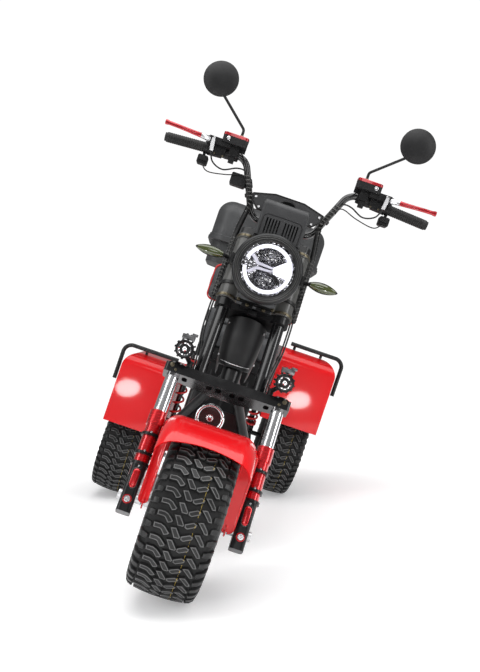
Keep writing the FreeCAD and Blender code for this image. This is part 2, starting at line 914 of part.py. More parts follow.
def mirrors():
    """Two round mirrors on bent stems."""
    base = vec(mirror_base_x, reservoir_y, reservoir_z + reservoir_height / 2 + running_clearance)
    bend = vec(mirror_base_x, reservoir_y, mirror_bend_z)
    head = vec(mirror_x - 10, mirror_y + 4, mirror_z - 34)
    stem = bent_tube([base, bend, head], mirror_stem_radius, 14.0)
    return both(fused([mirror_head(), stem]))


# Front fender

def fender_profile(inset):
    """Crown, rounded edge and skirt of the front fender on the +X side, drawn in by an inset."""
    half = fender_half_width - inset
    top = tyre_radius + fender_gap + fender_wall - inset
    bend = min(fender_corner_radius, fender_skirt) - inset * 0.3
    k = (fender_corner_radius - inset) * (1 - math.sqrt(0.5))
    drop = bend * (1 - math.sqrt(0.5))
    low = tyre_radius + fender_gap + fender_wall - fender_skirt
    return [vec(fender_half_width - fender_corner_radius, 0, top), vec(half - k, 0, top - drop),
            vec(half, 0, max(top - bend, low + 0.2)), vec(half, 0, low)]


def fender_section():
    """Closed section of the front fender in the XZ plane above the axle."""
    out = fender_profile(0.0)
    inn = fender_profile(fender_wall)
    far_out = [opposite(point) for point in out]
    far_in = [opposite(point) for point in inn]
    return Part.Wire([
        line(far_out[0], out[0]),
        arc(out[0], out[1], out[2]),
        line(out[2], out[3]),
        line(out[3], inn[3]),
        line(inn[3], inn[2]),
        arc(inn[2], inn[1], inn[0]),
        line(inn[0], far_in[0]),
        arc(far_in[0], far_in[1], far_in[2]),
        line(far_in[2], far_in[3]),
        line(far_in[3], far_out[3]),
        line(far_out[3], far_out[2]),
        arc(far_out[2], far_out[1], far_out[0]),
    ])


def fender_front_cut():
    """Room ahead of the fender's hollowed front edge."""
    reach = tyre_radius + fender_gap + 40
    depth = (tyre_radius + fender_gap) * math.radians(fender_corner_deg)
    half = fender_half_width
    low = reach - fender_skirt - 60
    edge = [
        arc(vec(-half, 0, low), vec(0, depth, low), vec(half, 0, low)),
        line(vec(half, 0, low), vec(half, -60, low)),
        line(vec(half, -60, low), vec(-half, -60, low)),
        line(vec(-half, -60, low), vec(-half, 0, low)),
    ]
    cutter = Part.Face(Part.Wire(edge)).extrude(vec(0, 0, reach - low))
    cutter.rotate(vec(0, 0, 0), AXIS_X, fender_front_deg)
    return cutter


def front_fender():
    """Pressed front fender, spun about the axle, with a stay down each side."""
    section = fender_section()
    shell = Part.Face(section)
    shell.rotate(vec(0, 0, 0), AXIS_X, fender_front_deg)
    shell = shell.revolve(vec(0, 0, 0), AXIS_X, -(fender_front_deg + fender_rear_deg)).cut(fender_front_cut())
    reach = tyre_radius + fender_gap - fender_skirt + 14
    stays = []
    for side in (-1, 1):
        x = side * fender_stay_x
        half = fender_stay_thickness / 2
        stays.append(box(x - half, -fender_stay_width / 2, 0, x + half, fender_stay_width / 2, reach))
        stays.append(rod(vec(x - half, 0, 0), vec(x + half, 0, 0), axle_spacer_radius + 8))
        stays.append(box(min(x - half, side * (fender_half_width - 1)), -fender_stay_width / 2, reach - 8,
                         max(x + half, side * (fender_half_width - 1)), fender_stay_width / 2, reach))
    whole = fused([shell] + stays)
    whole = whole.cut(rod(vec(-fender_half_width, 0, 0), vec(fender_half_width, 0, 0),
                          axle_spacer_radius + running_clearance))
    whole.translate(vec(0, 0, tyre_radius))
    return whole


def front_axle():
    """Axle through both shoes with its nuts."""
    reach = leg_half_spacing + shoe_width / 2
    pin = rod(vec(-reach - 10, 0, 0), vec(reach + 10, 0, 0), front_axle_radius)
    nuts = [rod(vec(side * (reach + 0.3), 0, 0), vec(side * (reach + 9), 0, 0), front_axle_radius + 6)
            for side in (-1, 1)]
    inner = leg_half_spacing - shoe_width / 2
    spacers = [
        sleeve(vec(front_hub_half_length + 0.5, 0, 0), vec(inner - 0.3, 0, 0), axle_spacer_radius,
               front_axle_radius - 0.5),
        sleeve(vec(-inner + 0.3, 0, 0), vec(front_disc_x - disc_thickness - 0.5, 0, 0), axle_spacer_radius,
               front_axle_radius - 0.5),
    ]
    whole = fused([pin] + nuts + spacers)
    whole.translate(vec(0, 0, tyre_radius))
    return whole


def front_caliper():
    """Brake caliper over the front disc, on a lug of the right-hand shoe."""
    middle = front_disc_x - disc_thickness / 2
    block = box(middle - 22, 26, 40, middle + 14, 60, front_disc_radius + disc_clearance + 6)
    half_slot = disc_thickness / 2 + disc_clearance
    slot = box(middle - half_slot, 20, 30, middle + half_slot, 80, front_disc_radius + disc_clearance)
    block = block.cut(slot)
    lug = box(-leg_half_spacing + shoe_width / 2 + running_clearance, 2, 40, middle - 21, 40,
              slider_bottom - running_clearance)
    whole = fused([block, lug])
    return on_fork(whole)


# Lamps, cowl and instruments

def headlight_shell():
    """Headlight bowl with its deep bezel and a round well for the reflector and lens."""
    r = headlight_radius
    seat = headlight_lens_radius
    front = headlight_y
    back = front + headlight_depth
    well = front + headlight_lens_depth + reflector_depth
    edges = [
        line(vec(0, well, seat), vec(0, front + 4, seat)),
        line(vec(0, front + 4, seat), vec(0, front, seat + 6)),
        line(vec(0, front, seat + 6), vec(0, front + 3, r - 8)),
        arc(vec(0, front + 3, r - 8), vec(0, front + 7, r - 2.4), vec(0, front + 15, r)),
        line(vec(0, front + 15, r), vec(0, front + headlight_bezel_depth, r)),
        arc(vec(0, front + headlight_bezel_depth, r), vec(0, front + headlight_depth * 0.72, r * 0.84),
            vec(0, back, r * 0.5)),
        line(vec(0, back, r * 0.5), vec(0, back, 0)),
        line(vec(0, back, 0), vec(0, well, 0)),
        line(vec(0, well, 0), vec(0, well, seat)),
    ]
    shell = spun(Part.Wire(edges), vec(0, 0, 0), AXIS_Y)
    shell.translate(vec(0, 0, headlight_z))
    return shell


def headlight_reflector():
    """Bright reflector block with an upper and a lower cup behind the lens."""
    radius = headlight_lens_radius - running_clearance
    front = headlight_y + headlight_lens_depth + running_clearance
    back = headlight_y + headlight_lens_depth + reflector_depth - running_clearance
    block = rod(vec(0, front, headlight_z), vec(0, back, headlight_z), radius)
    for side in (-1, 1):
        centre = vec(0, front - 8, headlight_z + side * reflector_cup_spacing)
        block = block.cut(Part.makeSphere(reflector_cup_radius, centre).common(
            box(-radius, front - 50, headlight_z - radius, radius, back - 4, headlight_z + radius)))
    return block


def headlight_lens():
    """Clear cover of the headlight, rounded at its rim."""
    lens = Part.makeCylinder(headlight_lens_radius - running_clearance, headlight_lens_depth,
                             vec(0, headlight_y, headlight_z), AXIS_Y)
    return rounded(lens, 5.0, lambda e: e.BoundBox.YMax < headlight_y + 1)


def turn_signals():
    """Leaf-shaped signal lamps on short stalks beside the fork shrouds."""
    middle = (signal_tip_x + signal_root_x) / 2 - 8
    y = signal_y - signal_thickness / 2
    root = vec(signal_root_x, y, signal_z)
    tip = vec(signal_tip_x, y, signal_z)
    leaf = Part.Wire([
        arc(root, vec(middle, y, signal_z + signal_height / 2), tip),
        arc(tip, vec(middle, y, signal_z - signal_height / 2), root),
    ])
    body = Part.Face(leaf).extrude(vec(0, signal_thickness, 0))
    up = (signal_z - tyre_radius) / math.cos(rake)
    start_x = tube_half_spacing + tube_radius + shroud_wall + ear_wall + 2 * running_clearance
    stalk_y = fork_point(0, 0, up).y
    stalk = bent_tube([vec(start_x, stalk_y, signal_z), vec(start_x + 16, stalk_y, signal_z),
                       vec(signal_root_x + 22, signal_y, signal_z)], signal_stalk_radius, 8.0)
    return both(fused([body, stalk]))


def aux_lamp(centre):
    """Spot lamp drawn along Y: ribbed barrel, front ring and a domed lens in its recess."""
    barrel = Part.makeCylinder(aux_barrel_radius, aux_depth, centre, AXIS_Y)
    ribs = []
    for index in range(aux_fin_count):
        rib = box(-aux_fin_width / 2, 10, 0, aux_fin_width / 2, aux_depth - 8, aux_radius)
        rib.rotate(vec(0, 0, 0), AXIS_Y, 360.0 * index / aux_fin_count)
        rib.translate(centre)
        ribs.append(rib)
    ring = Part.makeCylinder(aux_barrel_radius + 3, 9.0, centre, AXIS_Y)
    recess = Part.makeCylinder(aux_lens_radius, aux_recess, centre - AXIS_Y, AXIS_Y)
    dome = Part.makeSphere(aux_lens_radius + 6, centre + AXIS_Y * (aux_lens_radius + 4))
    dome = dome.common(Part.makeCylinder(aux_lens_radius - 1, aux_recess + 6, centre - AXIS_Y * 4, AXIS_Y))
    return fused([fused([barrel, ring] + ribs).cut(recess), dome])


def aux_lamp_bodies():
    """Two ribbed spot lamps on brackets that stand on the yoke plate."""
    plate_top_s = yoke_plate_middle + yoke_plate_height / 2
    foot_x = (leg_half_spacing + tube_half_spacing) / 2
    centre = vec(aux_x, aux_y, aux_z)
    post = on_fork(rod(vec(foot_x, 0, plate_top_s + running_clearance),
                       vec(foot_x, 0, plate_top_s + 30), 9.0))
    bracket = rod(fork_point(foot_x, 0, plate_top_s + 24), centre + vec(0, aux_depth * 0.6, -8), 7.0)
    return both(fused([aux_lamp(centre), post, bracket]))


def cowl():
    """Box cover between the headlight and the instruments, open below, with slats across its foot."""
    back = cowl_front_y + cowl_depth
    shape = box(-cowl_half_width, cowl_front_y, cowl_bottom, cowl_half_width, back, cowl_top)
    shape = rounded(shape, 22.0, lambda e: along(e, AXIS_X) and e.BoundBox.ZMin > cowl_top - 1
                    and e.BoundBox.YMin < cowl_front_y + 1)
    shape = rounded(shape, 10.0, lambda e: along(e, AXIS_Z))
    shape = shape.cut(box(-cowl_half_width + cowl_wall, cowl_front_y + cowl_wall, cowl_bottom - 1,
                          cowl_half_width - cowl_wall, back - cowl_wall, cowl_top - 22))
    low = cowl_bottom + slat_foot
    for side in (-1, 1):
        for index in range(slat_count):
            x = side * (slat_middle_gap + index * slat_pitch)
            shape = shape.cut(box(x - slat_width / 2, cowl_front_y - 1, low, x + slat_width / 2,
                                  cowl_front_y + cowl_wall + 1, low + slat_height))
    yoke_low = top_yoke_middle - top_yoke_height / 2
    lug = on_fork(box(-20, -cowl_lug_reach, yoke_low + 2, 20, -26 - running_clearance,
                      yoke_low + top_yoke_height - 2))
    return fused([shape, lug])


def instrument_plate():
    """Wide plate behind the cowl that holds the instruments."""
    h = plate_half_width
    points = [vec(-h, plate_y, plate_top - 18), vec(-48, plate_y, plate_top), vec(48, plate_y, plate_top),
              vec(h, plate_y, plate_top - 18), vec(h - 4, plate_y, plate_bottom + 22),
              vec(h - 28, plate_y, plate_bottom), vec(-h + 28, plate_y, plate_bottom),
              vec(-h + 4, plate_y, plate_bottom + 22)]
    plate = prism(points, vec(0, plate_thickness, 0))
    start = cowl_front_y + cowl_depth + running_clearance
    studs = [rod(vec(side * 50, start, cowl_top - 12), vec(side * 50, plate_y + 2, cowl_top - 12), 6.0)
             for side in (-1, 1)]
    return fused([plate] + studs)


# Frame and body

def head_bore():
    """Hole for the steering stem."""
    return on_fork(rod(vec(0, steer_offset, yoke_plate_middle - 20),
                       vec(0, steer_offset, mid_yoke_middle + 20), stem_radius + stem_clearance))


def head_low():
    """Lower end of the head tube along the fork."""
    return yoke_plate_middle + yoke_plate_height / 2 + head_tube_gap


def head_high():
    """Upper end of the head tube along the fork."""
    return mid_yoke_middle - mid_yoke_height / 2 - head_tube_gap


def spine(radius):
    """Spine tube from the steering head back to the seat, at a given radius."""
    neck = fork_point(0, steer_offset + 12, head_high() - 40)
    return bent_tube([neck, vec(0, spine_bend_y, seat_rail_z), vec(0, seat_cross_y, seat_rail_z)],
                     radius, spine_bend)


def head_frame():
    """Steering head with the spine tube."""
    head = on_fork(rod(vec(0, steer_offset, head_low()), vec(0, steer_offset, head_high()), head_tube_radius))
    return fused([head, spine(down_tube_radius)])


def frame_loop(side):
    """Side loop: down tube, floor rail and rise to the seat rail."""
    start = fork_point(side * 8, steer_offset + 12, head_low() + loop_start)
    return bent_tube([start,
                      vec(side * floor_half_width, floor_front_y, floor_z + 60),
                      vec(side * floor_half_width, floor_front_y + 70, floor_z),
                      vec(side * floor_half_width, floor_rear_y, floor_z),
                      vec(side * seat_rail_half_width, swingarm_pivot_y, swingarm_pivot_z + 60),
                      vec(side * seat_rail_half_width, swingarm_pivot_y + 120, seat_rail_z)],
                     frame_tube_radius, 46.0)


def seat_rail(side):
    """Seat rail that runs back, then up to the luggage rack."""
    x = side * seat_rail_half_width
    rack_under = rack_z - rack_tube_radius - running_clearance
    return bent_tube([vec(x, seat_cross_y - cross_tube_radius, seat_rail_z),
                      vec(x, seat_rail_rear_y, seat_rail_z),
                      vec(x, seat_rail_rear_y, rack_under)], cross_tube_radius, 40.0)


def main_frame():
    """Welded tube frame: head, side loops, seat rails and cross tubes."""
    tubes = [head_frame()]
    for side in (-1, 1):
        tubes.append(frame_loop(side))
        tubes.append(seat_rail(side))
        x = side * seat_rail_half_width
        tubes.append(rod(vec(x, swingarm_pivot_y, swingarm_pivot_z),
                         vec(x, swingarm_pivot_y, swingarm_pivot_z + 70), frame_tube_radius))
    shock_reach = swingarm_x - shock_inset - shock_rod_radius - running_clearance
    pivot_reach = swingarm_x - swingarm_boss_half - 2 * running_clearance
    for y, z, half in ((swingarm_pivot_y, swingarm_pivot_z, pivot_reach),
                       (seat_cross_y, seat_rail_z, seat_rail_half_width),
                       (shock_top_y, seat_rail_z, shock_reach),
                       (seat_rail_rear_y - rear_cross_gap, seat_rail_z, seat_rail_half_width),
                       (floor_rear_y - floor_cross_gap, floor_z, floor_half_width)):
        tubes.append(rod(vec(-half, y, z), vec(half, y, z), cross_tube_radius))
    return fused(tubes).cut(head_bore())


def hood_ring(scale, inset, back, z):
    """Section of the shield across the fork: round in front, straight behind."""
    half = hood_half_width * scale - inset
    front = steer_offset - hood_half_width * scale * 0.8 + inset
    side_y = steer_offset + 4
    rear = steer_offset + back
    return Part.Wire([
        arc(vec(-half, side_y, z), vec(0, front, z), vec(half, side_y, z)),
        line(vec(half, side_y, z), vec(half, rear, z)),
        line(vec(half, rear, z), vec(-half, rear, z)),
        line(vec(-half, rear, z), vec(-half, side_y, z)),
    ])


def hood_form(inset, low, high, back):
    """Tapered body of the shield, drawn in along its front and sides."""
    middle = low + (high - low) * 0.4
    rings = [hood_ring(0.74, inset, back, low), hood_ring(0.92, inset, back, middle),
             hood_ring(1.0, inset, back, high)]
    return Part.makeLoft(rings, True, False)


def neck_cover():
    """Dark shield round the steering head with a rounded foot, open behind and below."""
    low = head_low() + hood_foot
    high = head_high() - 6
    outer = hood_form(0.0, low, high, hood_reach)
    inner = hood_form(hood_wall, low - 1, high - hood_wall, hood_reach + 6)
    hood = outer.cut(inner)
    roof_hole = rod(vec(0, steer_offset, high - 20), vec(0, steer_offset, high + 5),
                    head_tube_radius + running_clearance)
    half = hood_half_width + 5
    bend = low + hood_round_end
    face = Part.Wire([
        arc(vec(-half, -60, bend), vec(0, -60, low - 4), vec(half, -60, bend)),
        line(vec(half, -60, bend), vec(half, -60, high + 5)),
        line(vec(half, -60, high + 5), vec(-half, -60, high + 5)),
        line(vec(-half, -60, high + 5), vec(-half, -60, bend)),
    ])
    outline_room = Part.Face(face).extrude(vec(0, 260, 0))
    whole = on_fork(hood.cut(roof_hole).common(outline_room))
    return whole.cut(spine(down_tube_radius + 2 * running_clearance))


def battery_box():
    """Closed box under the foot deck that holds the battery, with its raised front panel."""
    half = battery_half_width - battery_side_gap
    shape = box(-half, battery_front_y, battery_bottom, half, battery_rear_y,
                floor_z - cross_tube_radius - running_clearance)
    half -= battery_panel_inset
    front = box(-half, battery_front_y - battery_panel_reach, battery_bottom + battery_panel_lift,
                half, battery_front_y + 4, floor_z + battery_panel_height)
    shape = rounded(shape, 18.0, lambda e: along(e, AXIS_Y))
    front = rounded(front, 12.0, lambda e: along(e, AXIS_Y))
    return fused([shape, front])


def foot_deck():
    """Flat deck over the floor rails with rounded corners."""
    z = floor_z + frame_tube_radius + running_clearance
    shape = box(-deck_half_width, floor_front_y + deck_front_gap, z, deck_half_width,
                floor_rear_y - deck_rear_gap, z + deck_thickness)
    return rounded(shape, deck_corner, lambda e: along(e, AXIS_Z))


def horn():
    """Round horn on the front panel: bright ring round a dished front with a centre cap."""
    front = horn_y + 2
    back = horn_y + horn_depth
    ring = horn_radius - horn_ring_radius
    body = spun(outline([
        vec(0, front, 0), vec(0, front, 11), vec(0, front + 5, 14), vec(0, front + 13, 26),
        vec(0, front + 4, ring), vec(0, front + 12, ring + 3), vec(0, back - 6, ring - 2),
        vec(0, back, ring - 10), vec(0, back, 0),
    ]), vec(0, 0, 0), AXIS_Y)
    body.translate(vec(horn_x, 0, horn_z))
    rim_ring = Part.makeTorus(ring, horn_ring_radius, vec(horn_x, horn_y + 5, horn_z), AXIS_Y)
    panel_y = battery_front_y - battery_panel_reach - running_clearance
    stem = rod(vec(horn_x, back - 1, horn_z), vec(horn_x, panel_y, horn_z), horn_stem_radius)
    return fused([body, rim_ring, stem])


def boot_box():
    """Body box under the seats between the rear wheels."""
    half = boot_half_width
    low = seat_rail_z + cross_tube_radius + boot_rail_gap
    front_top = rider_seat_top - seat_thickness - soft_gap
    rear_top = passenger_seat_top - seat_thickness - soft_gap
    return prism([
        vec(-half, boot_front_y, low), vec(-half, boot_front_y, front_top),
        vec(-half, rider_seat_rear_y, front_top), vec(-half, rider_seat_rear_y + seat_step_gap, rear_top),
        vec(-half, boot_rear_y, rear_top), vec(-half, boot_rear_y, low),
    ], vec(2 * half, 0, 0))


def cushion(half_width, front, rear, top, corner):
    """Pad with rounded corners and a softened top edge."""
    shape = box(-half_width, front, top - seat_thickness, half_width, rear, top)
    shape = rounded(shape, corner, lambda e: along(e, AXIS_Z))
    return rounded(shape, seat_edge, lambda e: e.BoundBox.ZMin > top - 1)


def rider_seat():
    """Front cushion."""
    return cushion(rider_seat_half_width, rider_seat_front_y, rider_seat_rear_y - 1, rider_seat_top,
                   rider_seat_corner)


def passenger_seat():
    """Rear cushion, one step higher."""
    front = rider_seat_rear_y + seat_step_gap + soft_gap
    return cushion(passenger_seat_half_width, front, passenger_seat_rear_y, passenger_seat_top,
                   passenger_seat_corner)


def backrest():
    """Padded back ahead of the top case."""
    rear = case_front_y - rack_front_gap - rack_tube_radius - soft_gap
    front = rear - backrest_thickness
    shape = box(-backrest_half_width, front, backrest_bottom, backrest_half_width, rear, backrest_top)
    shape = rounded(shape, 50.0, lambda e: along(e, AXIS_Y))
    return rounded(shape, seat_edge, lambda e: e.BoundBox.YMax < front + 1)


def case_block(inset, low, high, corner):
    """Box with rounded corners on the luggage case's footprint, drawn in by an inset."""
    block = box(case_x - case_half_width + inset, case_front_y + inset, low,
                case_x + case_half_width - inset, case_front_y + case_length - inset, high)
    return rounded(block, corner, lambda e: along(e, AXIS_Z))


def top_case_base():
    """Lower half of the luggage case on its rack, with a deep rim."""
    rim_low = case_split - case_rim_height
    shape = case_block(case_base_inset, case_bottom, rim_low, case_corner - case_base_inset)
    brim = case_block(-case_rim_reach, rim_low, case_split, case_corner + case_rim_reach)
    brim = rounded(brim, 4.0, lambda e: e.BoundBox.ZMax < rim_low + 1)
    inset = case_base_inset + case_wall
    hollow = case_block(inset, case_bottom + case_wall, case_split + 1, case_corner - inset)
    return fused([shape, brim]).cut(hollow)


def top_case_lid():
    """Domed lid of the luggage case, open below, with a lip round its foot."""
    base = case_split + soft_gap
    shape = case_block(0.0, base, case_top, case_corner)
    shape = rounded(shape, case_shoulder, lambda e: e.BoundBox.ZMin > case_top - 1)
    lip = case_block(-case_rim_reach * 0.6, base, base + case_lip_height, case_corner + case_rim_reach * 0.6)
    lip = rounded(lip, 3.0, lambda e: e.BoundBox.ZMin > base + case_lip_height - 1)
    inner = case_block(case_wall, base - 1, case_top - case_wall, case_corner - case_wall)
    inner = rounded(inner, case_shoulder - case_wall, lambda e: e.BoundBox.ZMin > case_top - case_wall - 1)
    return fused([shape, lip]).cut(inner)


def case_rack():
    """Tube rack under the luggage case, on two posts behind the backrest."""
    x = seat_rail_half_width
    front = case_front_y - rack_front_gap
    r = rack_tube_radius
    hoop = bent_tube([vec(-x, seat_rail_rear_y, rack_z), vec(-x, front, rack_z),
                      vec(x, front, rack_z), vec(x, seat_rail_rear_y, rack_z)], r, rack_bend)
    cross = rod(vec(-x, seat_rail_rear_y, rack_z), vec(x, seat_rail_rear_y, rack_z), r)
    plate = box(-rack_plate_half_width, front, rack_z + r - 1, rack_plate_half_width, seat_rail_rear_y,
                case_bottom - running_clearance)
    top = passenger_seat_top - seat_thickness
    posts = [rod(vec(side * rack_post_x, front, top), vec(side * rack_post_x, front, rack_z), r)
             for side in (-1, 1)]
    return hoop.fuse([cross, plate] + posts, weld_tolerance).removeSplitter()


# Rear units, drawn round their own wheel's centre for one side

def unit_place(shape, side):
    """Move a piece drawn about a rear wheel's centre to its place."""
    placed = shape.copy()
    placed.translate(unit_centre(side))
    return placed


def unit_centre(side):
    """Centre of a rear wheel."""
    return vec(side * rear_track / 2, wheelbase, tyre_radius + side * rear_shift)


def swingarm(side):
    """Arm from the frame pivot back to the stub axle, with the caliper side plate."""
    centre = unit_centre(side)
    inner_x = side * swingarm_x
    pivot = vec(inner_x, swingarm_pivot_y, swingarm_pivot_z)
    heel = vec(inner_x, centre.y, centre.z)
    tube = rod(pivot, heel, swingarm_tube_radius)
    boss = rod(pivot - AXIS_X * side * swingarm_boss_half, pivot + AXIS_X * side * swingarm_tube_radius,
               swingarm_tube_radius + 8)
    hub = rod(heel - AXIS_X * side * 16, heel + AXIS_X * side * 22, swingarm_hub_radius)
    axle_end = vec(centre.x - side * motor_drum_half_length / 2, centre.y, centre.z)
    axle = rod(heel, axle_end, rear_axle_radius)
    stay_top = vec(inner_x, centre.y - fender_stay_ahead, centre.z + rear_fender_top - fender_stay_drop)
    riser = rod(heel, stay_top, rear_stay_radius)
    fender_face = centre.x - side * (rear_fender_inner + running_clearance)
    seat = rod(stay_top, vec(fender_face, stay_top.y, stay_top.z), rear_stay_radius)
    foot = shock_foot(side)
    top = vec(foot.x, shock_top_y, seat_rail_z)
    direction = (top - foot).normalize()
    lug = rod(foot - vec(0, 0, shock_lug), foot + direction * 4, shock_rod_radius)
    seat_room = rod(foot - direction * running_clearance, top, shock_rod_radius + 4)
    return fused([tube, boss, hub, axle, riser, seat, lug]).cut(seat_room)


def fender_hull(grow, open_below):
    """Body of a rear fender for the left side, drawn in by its wall."""
    x0 = -rear_fender_inner + grow
    x1 = rear_fender_outer - grow
    y0 = -rear_fender_ahead + grow
    y1 = rear_fender_behind - grow
    top = rear_fender_top - grow
    low = rear_fender_bottom - open_below
    brow = rear_fender_brow - grow
    tail = rear_fender_tail - grow
    brow_rise = brow * (1 - math.sqrt(0.5))
    tail_drop = tail * (1 - math.sqrt(0.5))
    side_face = Part.Wire([
        line(vec(x0, y0, low), vec(x0, y0, top - brow)),
        arc(vec(x0, y0, top - brow), vec(x0, y0 + brow_rise, top - brow_rise), vec(x0, y0 + brow, top)),
        line(vec(x0, y0 + brow, top), vec(x0, y1 - tail, top)),
        arc(vec(x0, y1 - tail, top), vec(x0, y1 - tail_drop, top - tail_drop), vec(x0, y1, top - tail)),
        line(vec(x0, y1, top - tail), vec(x0, y1, low)),
        line(vec(x0, y1, low), vec(x0, y0, low)),
    ])
    solid = Part.Face(side_face).extrude(vec(x1 - x0, 0, 0))
    corner = rear_fender_corner - grow
    edge = vec(x1 - corner, y0 - 10, top - corner)
    cutter = box(edge.x, edge.y, edge.z, x1 + 10, y1 + 10, top + 10)
    return solid.cut(cutter.cut(Part.makeCylinder(corner, y1 - y0 + 20, edge, AXIS_Y)))


def rear_fender(side):
    """Boxy open-bottomed fender, closed on its inner and outer sides, rounded over its brow."""
    shell = fender_hull(0.0, 0.0).cut(fender_hull(rear_fender_wall, 10.0))
    if side < 0:
        shell = mirrored(shell)
    return unit_place(shell, side)


def guard_rail(side):
    """Bent tube rail over a rear fender, free at its outer end."""
    y = -rear_fender_ahead + 12
    top = rear_fender_top + rail_lift
    tube = bent_tube([vec(-rail_inner_reach, y, top), vec(rail_outer_reach, y, top),
                      vec(rail_outer_reach, y, top - rail_drop)], rail_radius, rail_bend)
    feet = []
    for x in (-rail_inner_reach + 22, 30.0):
        feet.append(rod(vec(x, y + 40, rear_fender_top + 0.3), vec(x, y + 40, top), 6.0))
        feet.append(rod(vec(x, y + 40, top), vec(x, y, top), 6.0))
    rail = fused([tube] + feet)
    if side < 0:
        rail = mirrored(rail)
    return unit_place(rail, side)


def shock_foot(side):
    """Lower eye of a shock, above its lug on the swingarm."""
    centre = unit_centre(side)
    pivot = vec(side * (swingarm_x - shock_inset), swingarm_pivot_y, swingarm_pivot_z)
    heel = vec(side * (swingarm_x - shock_inset), centre.y, centre.z)
    return pivot + (heel - pivot) * shock_place + vec(0, 0, shock_lug)


def spring(start, length, turns, coil_radius, wire_radius):
    """Coil spring drawn along Z from a start height."""
    helix = Part.makeHelix(length / turns, length, coil_radius)
    section = Part.Wire(Part.makeCircle(wire_radius, vec(coil_radius, 0, 0), AXIS_Y))
    coil = Part.Wire(helix).makePipeShell([section], True, True)
    coil.translate(vec(0, 0, start))
    return coil


def shock(side):
    """Damper between the frame and a swingarm, with its coil spring between two seats."""
    foot = shock_foot(side)
    top = vec(foot.x, shock_top_y, seat_rail_z)
    length = (top - foot).Length
    low = shock_body_gap
    high = length - shock_body_gap
    damper = fused([
        rod(vec(0, 0, 0), vec(0, 0, length), shock_rod_radius),
        rod(vec(0, 0, low), vec(0, 0, low + spring_seat), shock_radius),
        rod(vec(0, 0, high - spring_seat), vec(0, 0, high), shock_radius),
        rod(vec(0, 0, (low + high) / 2), vec(0, 0, high), damper_radius),
    ])
    coil_low = low + spring_seat + spring_wire_radius + running_clearance
    coil_high = high - spring_seat - spring_wire_radius - running_clearance
    coil = spring(coil_low, coil_high - coil_low, spring_turns, shock_radius - spring_wire_radius,
                  spring_wire_radius)
    whole = Part.makeCompound([damper, coil])
    whole.Placement = FreeCAD.Placement(foot, FreeCAD.Rotation(AXIS_Z, top - foot))
    return whole


# Small rear pieces

def tail_lamp():
    """Wide lamp on a foot at the back of the body box."""
    front = boot_rear_y + running_clearance
    lamp = box(-tail_lamp_width / 2, front, tail_lamp_z - tail_lamp_height / 2,
               tail_lamp_width / 2, front + tail_lamp_depth, tail_lamp_z + tail_lamp_height / 2)
    return rounded(lamp, 9.0, lambda e: e.BoundBox.YMin > front + 1)


def plate_holder():
    """Blank holder behind the seat rails, with two screw holes for a number plate."""
    y = seat_rail_rear_y + cross_tube_radius + running_clearance
    half = plate_holder_width / 2
    middle = seat_rail_z - plate_holder_drop
    shape = box(-half, y, middle - 60, half, y + plate_holder_wall, middle + 60)
    shape = rounded(shape, 8.0, lambda e: along(e, AXIS_Y))
    front = seat_rail_rear_y - rear_cross_gap + cross_tube_radius + running_clearance
    for side in (-1, 1):
        lug = box(side * 30 - 10, front, seat_rail_z - 10, side * 30 + 10, y + 1, seat_rail_z + 10)
        shape = fused([shape, lug])
        hole = rod(vec(side * plate_screw_spacing / 2, y - 1, middle),
                   vec(side * plate_screw_spacing / 2, y + plate_holder_wall + 1, middle), plate_screw_radius)
        shape = shape.cut(hole)
    return shape


def world_place(pieces):
    """Lean all pieces over, rest the tyres on the ground and centre the whole."""
    turn = FreeCAD.Placement(vec(0, 0, 0), FreeCAD.Rotation(AXIS_Y, lean_deg))
    whole = FreeCAD.BoundBox()
    for shape in pieces.values():
        shape.Placement = turn.multiply(shape.Placement)
        whole.add(shape.optimalBoundingBox(False, False))
    ground = min(pieces[name].optimalBoundingBox(False, False).ZMin for name in pieces if "tyre" in name)
    shift = vec(-whole.Center.x, -whole.Center.y, -ground)
    for shape in pieces.values():
        shape.translate(shift)
    return shift


